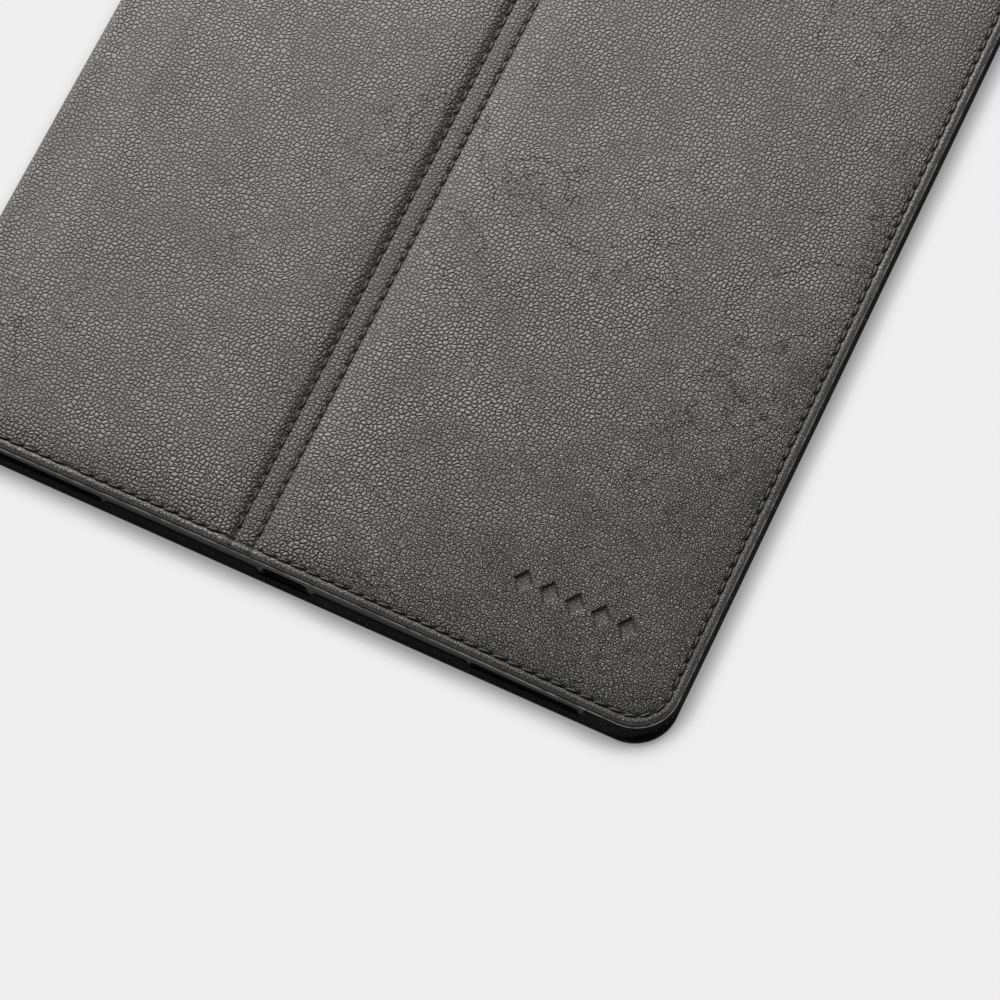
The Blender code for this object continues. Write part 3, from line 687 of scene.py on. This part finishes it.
def openRound(piece, centre, radius, rounding, face):
    # opens a hole in a skin and turns its edge in smoothly
    mesh = bmesh.new()
    mesh.from_mesh(piece.data)
    c = Vector((centre[0] * mm, centre[1] * mm))

    def near(point, reach):
        return (point.xy - c).length < (radius + reach) * mm and abs(point.z - face * mm) < 0.5 * mm

    gone = [f for f in mesh.faces if near(f.calc_center_median(), 1.0)]
    bmesh.ops.delete(mesh, geom=gone, context="FACES")
    rim = [e for e in mesh.edges if e.is_boundary and near(e.verts[0].co, 3.5)]
    for v in set(v for e in rim for v in e.verts):
        away = (v.co.xy - c).normalized() * (radius + rounding) * mm
        v.co.x, v.co.y, v.co.z = c.x + away.x, c.y + away.y, face * mm
    for n in range(1, 5):
        made = bmesh.ops.extrude_edge_only(mesh, edges=rim)["geom"]
        rim = [g for g in made if isinstance(g, bmesh.types.BMEdge)]
        a = math.pi / 2 * n / 4
        for v in set(v for e in rim for v in e.verts):
            away = (v.co.xy - c).normalized() * (radius + rounding * (1 - math.sin(a))) * mm
            v.co.x, v.co.y = c.x + away.x, c.y + away.y
            v.co.z = (face + rounding * (1 - math.cos(a)) + (0.9 if n == 4 else 0)) * mm
    bmesh.ops.recalc_face_normals(mesh, faces=mesh.faces)
    mesh.to_mesh(piece.data)
    mesh.free()
    piece.data.shade_smooth()


openRound(coverBack, cameraHole["centre"], cameraHole["radius"] + 0.2, 0.45, 0.0)
storePlace(coverBack)
print("back skin made", len(coverBack.data.vertices))


def stitch(verts, faces, centre, along, up, length, radius):
    sides, rings = 8, 9
    side = np.cross(up, along)
    first = len(verts)
    for n in range(rings):
        t = 2 * n / (rings - 1) - 1
        reach = along * (t * length / 2) + side * (seam["slant"] * t)
        sink = -0.42 * abs(t) ** 3.2
        r = radius * (1 - 0.35 * abs(t) ** 4)
        for m in range(sides):
            a = 2 * math.pi * m / sides
            verts.append(centre + reach + up * (sink + r * math.sin(a)) + side * (r * math.cos(a)))
    for n in range(rings - 1):
        for m in range(sides):
            a, b = first + n * sides + m, first + n * sides + (m + 1) % sides
            faces.append((a, b, b + sides, a + sides))
    faces.append(tuple(first + m for m in range(sides - 1, -1, -1)))
    faces.append(tuple(first + (rings - 1) * sides + m for m in range(sides)))


def coverStitches(name, places, rise):
    verts, faces = [], []
    for n, (s, y, direction, front) in enumerate(places):
        place = frontPlace if front else backPlace
        base = float(bowAt(s)) + rise if front else rise
        x, z = place(np.array(float(s)), np.array(base))
        x2, z2 = place(np.array(float(s)), np.array(base + 1.0))
        up = np.array([float(x2 - x), 0.0, float(z2 - z)])
        up /= np.linalg.norm(up)
        along = np.array([direction[0] * up[2], direction[1], -direction[0] * up[0]], float)
        along /= np.linalg.norm(along)
        wobble = noise.noise_vector((n * 1.7, s * 0.3, y * 0.3))
        centre = np.array([float(x), y, float(z)]) + np.array(tuple(wobble)) * (0.05, 0.05, 0.03)
        turn = 0.05 * wobble.z
        side = np.cross(up, along)
        along = along * math.cos(turn) + side * math.sin(turn)
        stitch(verts, faces, centre, along, up, seam["pitch"] - 0.62, seam["threadRadius"])
    piece = meshObject(name, verts, faces)
    give(piece, thread)
    return piece


def between(low, high):
    first = math.ceil(low / seam["pitch"])
    last = math.floor(high / seam["pitch"])
    return [(n + 0.5) * seam["pitch"] for n in range(first, last)]


def edgeStitches(low, high, front):
    y = case["halfLength"] - seam["inset"]
    return [(s, side * y, (1, 0), front) for side in (-1, 1) for s in between(low, high)]


def cornerStitches(front):
    # the row turns the corner in equal stitches between the last holes of the two straight rows
    r = case["corner"] - seam["inset"]
    cx, cy = case["right"] - case["corner"], case["halfLength"] - case["corner"]
    lastX = math.floor(cx / seam["pitch"]) * seam["pitch"]
    lastY = math.floor(cy / seam["pitch"]) * seam["pitch"]
    whole = (cx - lastX) + math.pi / 2 * r + (cy - lastY)
    count = round(whole / seam["pitch"])
    places = []
    for side in (-1, 1):
        for n in range(count):
            run = (n + 0.5) * whole / count - (cx - lastX)
            if run < 0:
                places.append((cx + run, side * (cy + r), (1, 0), front))
            elif run > math.pi / 2 * r:
                places.append((cx + r, side * (cy - (run - math.pi / 2 * r)), (0, -side), front))
            else:
                sin, cos = math.sin(run / r), math.cos(run / r)
                places.append((cx + r * sin, side * (cy + r * cos), (cos, -side * sin), front))
    return places


def sideStitches(front):
    x = case["right"] - seam["inset"]
    last = math.floor((case["halfLength"] - case["corner"]) / seam["pitch"]) * seam["pitch"]
    return [(x, y, (0, 1), front) for y in between(-last, last)]


def stripStitches(x):
    last = case["halfLength"] - 3.3
    return [(x, y, (0, 1), True) for y in between(-last, last)]


def freeSideStitches(start, front):
    # along both ends, round both free corners and down the free side
    lastHole = math.floor(freeEnd / seam["pitch"]) * seam["pitch"]
    return edgeStitches(start, lastHole + 0.1, front) + cornerStitches(front) + sideStitches(front)


rise = {"front": -0.20, "back": -0.38, "strip": -0.84}      # how deep each row's thread lies
stitchStart = edgeStart + 2
hingeRow = edgeStitches(stitchStart, case["panelCut"] + 0.1, True)
hingeStitches = coverStitches("hinge_stitches", hingeRow, rise["front"])
narrowRow = edgeStitches(case["panelCut"] - 0.1, case["besideFold"][0], True)
narrowStitches = coverStitches("narrow_stitches", narrowRow, rise["front"])
foldStitchesInner = coverStitches("strip_stitches_inner", stripStitches(fold["inner"]), rise["strip"])
foldStitchesOuter = coverStitches("strip_stitches_outer", stripStitches(fold["outer"]), rise["strip"])
wideStitches = coverStitches("wide_stitches", freeSideStitches(-3.5, True), rise["front"])
backStitches = coverStitches("back_stitches", freeSideStitches(stitchStart, False), rise["back"])
print("stitches made")


def roundedOutline(x, y, radius, inset, steps=10):
    # a rectangle with rounded corners, stepped in by inset
    points = []
    full = max(radius, inset + 0.02)
    for px, py, quarter in ((x[1], y[1], 0), (x[0], y[1], 1), (x[0], y[0], 2), (x[1], y[0], 3)):
        sx = 1 if px == x[1] else -1
        sy = 1 if py == y[1] else -1
        cx, cy = px - sx * full, py - sy * full
        for n in range(steps + 1):
            a = math.pi / 2 * (quarter + n / steps)
            points.append((cx + (full - inset) * math.cos(a), cy + (full - inset) * math.sin(a)))
    return points


def ringSolid(name, x, y, radius, profile, steps=10):
    # profile lists (inset, height) from the bottom to the top
    verts, faces = [], []
    for inset, z in profile:
        verts += [(px, py, z) for px, py in roundedOutline(x, y, radius, inset, steps)]
    count = 4 * (steps + 1)
    for k in range(len(profile) - 1):
        for n in range(count):
            a, b = k * count + n, k * count + (n + 1) % count
            faces.append((a, b, b + count, a + count))
    faces.append(tuple(range(count - 1, -1, -1)))
    faces.append(tuple(range((len(profile) - 1) * count, len(profile) * count)))
    return meshObject(name, verts, faces)


tray = {   # its outside limits are the frame's
    "x": (float(boxMm("tray_wall_left")[0][0]), float(boxMm("tray_wall_right")[1][0])),
    "y": (float(boxMm("tray_wall_lower")[0][1]), float(boxMm("tray_wall_upper")[1][1])),
    "corner": 12.0,
    "wall": 1.1,
    "lipReach": 6.0,
    "edge": 0.13,            # the width of its softened edges
}
tray["centre"] = sum(tray["x"]) / 2
# Its outside and its bay, from the bottom up: inwards from the plan, and height
trayProfile = (
    (3.0, 3.2), (1.7, 3.36), (0.85, 3.85), (0.42, 4.5), (0.28, 5.0), (0.24, 5.32), (0.0, 5.42),
    (0.0, 5.62), (0.10, 5.72), (0.16, 6.3), (0.16, 7.9), (0.30, 7.98), (0.30, 8.12), (0.16, 8.2),
    (0.14, 9.6), (0.18, 9.9), (0.04, 10.02), (0.0, 10.12), (0.0, 10.62), (0.10, 10.83), (0.3, 10.9),
)
bayProfile = ((2.1, 4.2), (1.2, 4.38), (0.5, 4.85), (0.1, 5.6), (0.0, 6.3), (0.0, 10.5))
# The openings, with their places along the wall from its middle. nap is half of the room that the
# nap leaves each, and how high it stands there.
openings = {
    "port": {"half": 5.5, "z": (4.35, 8.75), "round": 2.0, "nap": (6.2, 4.3)},
    "speaker": {
        "half": 13.0, "z": (5.0, 7.4), "round": 1.2, "nap": (13.6, 4.9), "lower": 57.0, "upper": 30.0,
    },
    "power": {"half": 7.0, "z": (4.8, 9.6), "round": 1.6, "nap": (7.8, 4.7), "place": 61.0},
    "volume": {"half": 14.0, "z": (4.8, 9.6), "round": 1.6, "nap": (17.0, 4.7), "place": 90.0},
}


def inner(side, amount):
    return side[0] + amount, side[1] - amount


def buildTray():
    shell = ringSolid("tablet_tray", tray["x"], tray["y"], tray["corner"], trayProfile, 14)
    bayX, bayY = inner(tray["x"], tray["wall"]), inner(tray["y"], tray["wall"])
    bayCorner = tray["corner"] - tray["wall"]
    mouth = ((0.0, 10.3), (0.0, 11.4))
    tools = [
        ringSolid("bayTool", bayX, bayY, bayCorner, bayProfile, 14),
        ringSolid("mouthTool", bayX, bayY, bayCorner + tray["lipReach"], mouth, 14),
        roundTool("cameraTool", cameraHole["centre"], 7.0, (2.0, 5.0)),
    ]
    low, high = tray["y"]
    lower, upper = (low - 2, low + 4), (high - 4, high + 2)

    def slot(name, kind, place, y):
        look = openings[kind]
        x = (place - look["half"], place + look["half"])
        return slotTool(name, x, y, look["z"], look["round"])

    tools.append(slot("portTool", "port", tray["centre"], lower))
    for wall, y in (("lower", lower), ("upper", upper)):
        for sign in (-1, 1):
            place = tray["centre"] + sign * openings["speaker"][wall]
            tools.append(slot("speakerTool", "speaker", place, y))
    tools.append(slot("powerTool", "power", tray["centre"] + openings["power"]["place"], upper))
    side = slot("volumeTool", "volume", 0.0, (-2, 4))
    there = Matrix.Translation((tray["x"][1] * mm, openings["volume"]["place"] * mm, 0))
    side.data.transform(there @ Matrix.Rotation(math.pi / 2, 4, "Z"))
    tools.append(side)
    carve(shell, tools)
    bevel = shell.modifiers.new("bevel", "BEVEL")
    bevel.width = tray["edge"] * mm
    bevel.segments = 2
    bevel.limit_method = "ANGLE"
    bevel.angle_limit = math.radians(50)
    bevel.harden_normals = False
    solid(shell)
    smoothByAngle(shell, 32)
    give(shell, plastic)
    return shell


def slotTool(name, x, y, z, r):
    # a prism along Y with rounded corners
    verts, faces = [], []
    outline = roundedOutline(x, z, r, 0.0, 6)
    for depth in y:
        verts += [(px, depth, pz) for px, pz in outline]
    count = len(outline)
    for n in range(count):
        faces.append((n, (n + 1) % count, count + (n + 1) % count, count + n))
    faces += [tuple(range(count - 1, -1, -1)), tuple(range(count, 2 * count))]
    tool = meshObject(name, verts, faces)
    fix = bmesh.new()
    fix.from_mesh(tool.data)
    bmesh.ops.recalc_face_normals(fix, faces=fix.faces)
    fix.to_mesh(tool.data)
    fix.free()
    return tool


def smoothByAngle(piece, angle):
    mesh = piece.data
    mesh.shade_smooth()
    fix = bmesh.new()
    fix.from_mesh(mesh)
    for e in fix.edges:
        e.smooth = len(e.link_faces) == 2 and e.calc_face_angle(0) < math.radians(angle)
    fix.to_mesh(mesh)
    fix.free()


trayPiece = buildTray()
print("tray made", len(trayPiece.data.vertices))


rim = {   # the nap that stands round the tray, from the back cover's lining up
    "foot": 2.0,
    "low": 6.9,
    "high": 10.3,            # towards both ends of the short sides
    "riseFrom": 62.0,
    "riseTo": 79.0,
    "out": 0.05,
    "swell": 0.30,
    "steps": 6,
    "spineTop": 6.0,
}


def rimTop(x, y):
    rise = np.clip((abs(x) - rim["riseFrom"]) / (rim["riseTo"] - rim["riseFrom"]), 0, 1)
    top = rim["low"] + (rim["high"] - rim["low"]) * rise * rise * (3 - 2 * rise)
    along = x - tray["centre"]
    gaps = {"speaker": abs(along) - openings["speaker"]["lower" if y < 0 else "upper"]}
    if x > tray["x"][1] - 3:
        gaps["volume"] = y - openings["volume"]["place"]
    if y < 0:
        gaps["port"] = along
    else:
        gaps["power"] = along - openings["power"]["place"]
    for kind, gap in gaps.items():
        half, low = openings[kind]["nap"]
        if abs(gap) < half:
            top = low
    return rim["spineTop"] if x < tray["x"][0] + 1 else top


def rimPath():
    # points close together round the tray, each with the way out from it
    rings = []
    for inset in (0.0, 1.0):
        outline = roundedOutline(tray["x"], tray["y"], tray["corner"], inset, 14)
        points = []
        for (ax, ay), (bx, by) in zip(outline, outline[1:] + outline[:1]):
            count = max(1, int(math.dist((ax, ay), (bx, by))))
            points += [(ax + (bx - ax) * k / count, ay + (by - ay) * k / count) for k in range(count)]
        rings.append(points)
    path = []
    for (x, y), (ix, iy) in zip(*rings):
        size = math.hypot(x - ix, y - iy)
        path.append((x, y, (x - ix) / size, (y - iy) / size))
    return path


def buildRim():
    path = rimPath()
    n = len(path)
    verts, faces = [], []
    rows = rim["steps"] + 3
    for x, y, ox, oy in path:
        top = rimTop(x, y)
        fuzz = 0.10 * noise.noise((x * 1.3, y * 1.3, 0.5))
        for k in range(rim["steps"] + 1):
            t = k / rim["steps"]
            z = rim["foot"] + (top - 0.25 - rim["foot"]) * t
            out = rim["out"] + rim["swell"] * (1 - t) ** 0.6 + fuzz * (1 - 0.5 * t)
            verts.append((x + ox * out, y + oy * out, z))
        verts.append((x - ox * 0.05, y - oy * 0.05, top - 0.04 + fuzz))
        verts.append((x - ox * 0.55, y - oy * 0.55, top - 0.30))
    for k in range(n):
        for r in range(rows - 1):
            a, b = k * rows + r, ((k + 1) % n) * rows + r
            faces.append((a, b, b + 1, a + 1))
    piece = meshObject("tray_nap", verts, faces)
    give(piece, lining)
    return piece


trayNap = buildRim()

lint = {   # single hairs of the nap, and a few longer stray ones, in millimetres
    "hairs": 2600,
    "strays": 16,
    "radius": 0.030,
    "shortest": 0.35,
    "longest": 1.0,
}


def buildLint():
    path = rimPath()
    n = len(path)
    verts, faces = [], []
    for count in range(lint["hairs"] + lint["strays"]):
        stray = count >= lint["hairs"]
        a = noise.noise_vector((count * 12.9898, count * 3.233, 0.7))
        b = noise.cell_vector((count * 1.37, count * 0.71, 2.0))
        x, y, ox, oy = path[int(noise.cell((count * 1.0, 5.0, 9.0)) * n) % n]
        z = rim["foot"] + 0.3 + (rimTop(x, y) - rim["foot"] - 0.5) * abs(b[0])
        point = np.array((x + ox * 0.2, y + oy * 0.2, z))
        reach = lint["shortest"] + (lint["longest"] - lint["shortest"]) * abs(b[1])
        way = np.array((ox * 0.8 + a[0] * 0.9, oy * 0.8 + a[1] * 0.9, 0.25 + a[2] * 1.2))
        if stray:
            reach *= 2.4
        way = way / np.linalg.norm(way) * reach
        curl = np.array((a[1], -a[0], b[2] - 0.5)) * 0.35 * reach
        thick = lint["radius"] * (1.2 if stray else 1.0)
        first = len(verts)
        for t in (0.0, 0.35, 0.7, 1.0):
            centre = point + way * t + curl * t * t
            r = thick * (1 - 0.7 * t)
            for m in range(3):
                turn = 2 * math.pi * m / 3
                around = (-oy * math.cos(turn), ox * math.cos(turn), math.sin(turn))
                verts.append(centre + np.array(around) * r)
        for row in range(3):
            for m in range(3):
                p, q = first + row * 3 + m, first + row * 3 + (m + 1) % 3
                faces.append((p, q, q + 3, p + 3))
        faces.append((first + 2, first + 1, first))
        faces.append((first + 9, first + 10, first + 11))
    piece = meshObject("nap_hairs", verts, faces)
    give(piece, hair)
    return piece


napHairs = buildLint()


def bentPlate(name, node, material, cornerRadius):
    # a flat board of the frame's size, bent to the front cover's arch
    low, high = boxMm(node)
    xs = list(np.linspace(low[0], high[0] - cornerRadius, max(3, int((high[0] - low[0]) / 2.5))))
    if cornerRadius > 0.5:
        xs += [high[0] - cornerRadius * (1 - math.sin(math.pi / 2 * n / 8)) for n in range(1, 9)]
    verts, faces = [], []
    for z in (low[2], high[2]):
        for side in (-1, 1):
            for x in xs:
                past = max(0.0, x - (high[0] - cornerRadius))
                cutBack = cornerRadius - math.sqrt(max(0.0, cornerRadius ** 2 - past ** 2))
                verts.append((x, side * (high[1] - cutBack), z + float(bowAt(x))))
    n = len(xs)
    for k in range(n - 1):
        a, b = k, k + 1
        faces += [(a, n + a, n + b, b), (2 * n + a, 2 * n + b, 3 * n + b, 3 * n + a),
                  (a, b, 2 * n + b, 2 * n + a), (n + b, n + a, 3 * n + a, 3 * n + b)]
    faces += [(0, 2 * n, 3 * n, n), (n - 1, 2 * n - 1, 4 * n - 1, 3 * n - 1)]
    piece = meshObject(name, verts, faces)
    smoothByAngle(piece, 40)
    give(piece, material)
    return piece


liningEdge = ((1.0, 0.0), (1.6, 0.0), (2.4, 0.0), (4.0, 0.0), (6.5, 0.0), (10.0, 0.0))
liningSize = {"thickness": 0.5, "frontDepth": 2.2, "backDepth": 2.1, "step": 3.0}


def liningSheet(name, stations, freeEdge, front):
    lines = list(np.linspace(-halfSeam + 6, halfSeam - 6, 60))
    s, y, d, h, ring, alongY, corner, hide = sheetGrid(stations, lines, liningEdge, freeEdge)
    if front:
        x, z = frontPlace(s, bowAt(s) + foldAt(s) * 0.5 - liningSize["frontDepth"])
    else:
        x, z = backPlace(s, np.full_like(s, -liningSize["backDepth"]))
    verts = np.stack((x, y, z), -1).reshape(-1, 3)
    piece = meshObject(name, verts, gridFaces(*s.shape, flip=front))
    thick = piece.modifiers.new("thickness", "SOLIDIFY")
    thick.thickness = liningSize["thickness"] * mm
    thick.offset = 1.0
    solid(piece)
    give(piece, lining)
    return piece


def every(low, high):
    return list(np.arange(low, high, liningSize["step"]))


hingeLines = spineStations + every(edgeStart + 1, case["panelCut"]) + [case["panelCut"]]
hingeLining = liningSheet("hinge_lining", hingeLines, False, True)
narrowLines = [case["panelCut"]] + every(case["panelCut"] + 2, -13.5) + list(fold["stations"])
foldLiningInner = liningSheet("narrow_lining", narrowLines, False, True)
wideLinesIn = list(fold["outerStations"]) + every(-2.0, freeEnd - 1)
foldLiningOuter = liningSheet("wide_lining", wideLinesIn, True, True)
backLines = spineStations + every(edgeStart + 1, freeEnd - 1)
backLining = liningSheet("back_cover_lining", backLines, True, False)
narrowBoard = bentPlate("narrow_board", "narrow_panel_board", board, 0.1)
wideBoard = bentPlate("wide_board", "wide_panel_board", board, 8.0)
print("linings and boards made")

rides = (
    (coverBack, "back", "spine", "spineBack", "leather"),
    (backLining, "back", "spine", "spineBack", "microfibre_lining"),
    (hingeSkin, "spine", "narrow_panel", "spineFront", "leather"),
    (hingeLining, "spine", "narrow_panel", "spineFront", "microfibre_lining"),
    (foldSkinInner, "narrow_panel", "fold_strip", "foldInner", "leather"),
    (foldLiningInner, "narrow_panel", "fold_strip", "foldInner", "microfibre_lining"),
    (foldStitchesInner, "narrow_panel", "fold_strip", "foldInner", "seam_thread"),
    (foldSkinOuter, "fold_strip", "wide_panel", "foldOuter", "leather"),
    (foldLiningOuter, "fold_strip", "wide_panel", "foldOuter", "microfibre_lining"),
    (foldStitchesOuter, "fold_strip", "wide_panel", "foldOuter", "seam_thread"),
)
for piece, first, second, line, slot in rides:
    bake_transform(piece)
for piece, body, slot in (
    (backStitches, "back", "seam_thread"),
    (hingeStitches, "narrow_panel", "seam_thread"),
    (narrowStitches, "narrow_panel", "seam_thread"),
    (wideStitches, "wide_panel", "seam_thread"),
    (trayPiece, "back", "tray_plastic"),
    (trayNap, "back", "microfibre_lining"),
    (napHairs, "back", "microfibre_lining"),
    (narrowBoard, "narrow_panel", "stiffener_board"),
    (wideBoard, "wide_panel", "stiffener_board"),
):
    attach(piece, body)

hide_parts("back_leather", "spine_leather")
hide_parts("spine_leather", "narrow_panel_leather")
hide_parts("narrow_panel_leather", "fold_leather")
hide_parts("fold_leather", "wide_panel_leather")
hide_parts("back_lining", "spine_lining")
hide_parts("spine_lining", "narrow_panel_lining")
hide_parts("narrow_panel_lining", "fold_lining")
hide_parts("fold_lining", "wide_panel_lining")
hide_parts("back_edge_seam")
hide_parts("narrow_seam_lower", "narrow_seam_upper")
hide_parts("fold_seam_inner")
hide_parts("fold_seam_outer")
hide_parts("wide_edge_seam")
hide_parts("narrow_panel_board")
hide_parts("wide_panel_board")
trayWords = ("tray_floor", "tray_camera", "tray_wall", "tray_corner")
trayNodes = [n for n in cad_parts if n.startswith(trayWords)]
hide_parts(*trayNodes)

keptFinishes = {"board": board, "magnet": nickel, "keeper": nickel, "adhesive": tape}
for name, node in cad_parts.items():
    for word, material in keptFinishes.items():
        if word in name and node.type == "MESH":
            node.data.materials.clear()
            node.data.materials.append(material)

studio = {
    "floor": 0.863,
    # contact and reach set the painted contact shadow: the floor's glow dimmed by ambient occlusion near
    # the case
    "contact": 0.30,         # the floor's tone where the case stands on it
    "reach": 6.5,            # how far the soft contact shadow goes, in millimetres
    "towards": (-0.50, 0.66, 0.56),  # the bright side of the soft surround
    "dim": 0.08,
    "bright": 1.9,
    "keyPower": 5.0,
    "keyPlace": (-0.24, 0.30, 0.24),
    "keyAim": (-0.04, 0.04, 0.0),
    "keySize": (0.30, 0.20),
}


def buildFloor():
    bpy.ops.mesh.primitive_plane_add(size=6.0, location=(0, 0, -0.00004))
    floor = bpy.context.object
    floor.name = "studio_floor"
    material = bpy.data.materials.new("paleFloor")
    material.use_nodes = True
    tree = material.node_tree
    tree.nodes.remove(tree.nodes["Principled BSDF"])
    # painted contact shadow: the floor glows evenly, and ambient occlusion dims the glow near the case
    near = tree.nodes.new("ShaderNodeAmbientOcclusion")
    near.samples = 8
    near.inputs["Distance"].default_value = studio["reach"] * mm
    tone = rampNode(tree, near.outputs["AO"], 0.56, 0.97, studio["contact"], studio["floor"])
    glow = tree.nodes.new("ShaderNodeEmission")
    tree.links.new(tone, glow.inputs["Strength"])
    tree.links.new(glow.outputs["Emission"], tree.nodes["Material Output"].inputs["Surface"])
    floor.data.materials.append(material)
    return floor


def buildSurround():
    # a soft white surround, brighter behind the case on its spine side
    world = bpy.data.worlds.new("studio")
    bpy.context.scene.world = world
    world.use_nodes = True
    tree = world.node_tree
    background = tree.nodes["Background"]
    place = tree.nodes.new("ShaderNodeTexCoord")
    way = Vector(studio["towards"]).normalized()
    towards = vectorNode(tree, "DOT_PRODUCT", place.outputs["Generated"], way)
    strength = rampNode(tree, towards, 0.1, 0.98, studio["dim"], studio["bright"])
    rays = tree.nodes.new("ShaderNodeLightPath")            # past the floor's edge it looks like the floor
    seen = rays.outputs["Is Camera Ray"]
    light = mathNode(tree, "MULTIPLY", strength, mathNode(tree, "SUBTRACT", 1.0, seen))
    backdrop = mathNode(tree, "MULTIPLY", seen, studio["floor"])
    tree.links.new(mathNode(tree, "ADD", light, backdrop), background.inputs["Strength"])
    background.inputs["Color"].default_value = (1.0, 1.0, 1.0, 1.0)


def buildKey(floor):
    key = bpy.data.lights.new("key", "AREA")
    key.shape = "RECTANGLE"
    key.size, key.size_y = studio["keySize"]
    key.energy = studio["keyPower"]
    keyObject = bpy.data.objects.new("key", key)
    bpy.context.scene.collection.objects.link(keyObject)
    keyObject.location = studio["keyPlace"]
    aim = Vector(studio["keyAim"]) - keyObject.location
    keyObject.rotation_euler = aim.to_track_quat("-Z", "Y").to_euler()
    flagged = bpy.data.collections.new("keyFlag")      # the key lights the case and not the floor
    flagged.objects.link(floor)
    flagged.collection_objects[0].light_linking.link_state = "EXCLUDE"
    keyObject.light_linking.receiver_collection = flagged


view = {"place": (0.186817, -0.409254, 0.925861), "target": (0.037736, -0.092429, 0.0139), "lens": 163.25}


def buildCamera():
    camera = bpy.data.cameras.new("camera")
    camera.lens = view["lens"]
    camera.sensor_width = 36.0
    camera.clip_start = 0.01
    cameraObject = bpy.data.objects.new("camera", camera)
    bpy.context.scene.collection.objects.link(cameraObject)
    cameraObject.location = view["place"]
    aim = Vector(view["target"]) - cameraObject.location
    cameraObject.rotation_euler = aim.to_track_quat("-Z", "Y").to_euler()
    bpy.context.scene.camera = cameraObject


studioFloor = buildFloor()
buildSurround()
buildKey(studioFloor)
buildCamera()
bpy.context.scene.view_settings.view_transform = "Standard"
print("studio made")
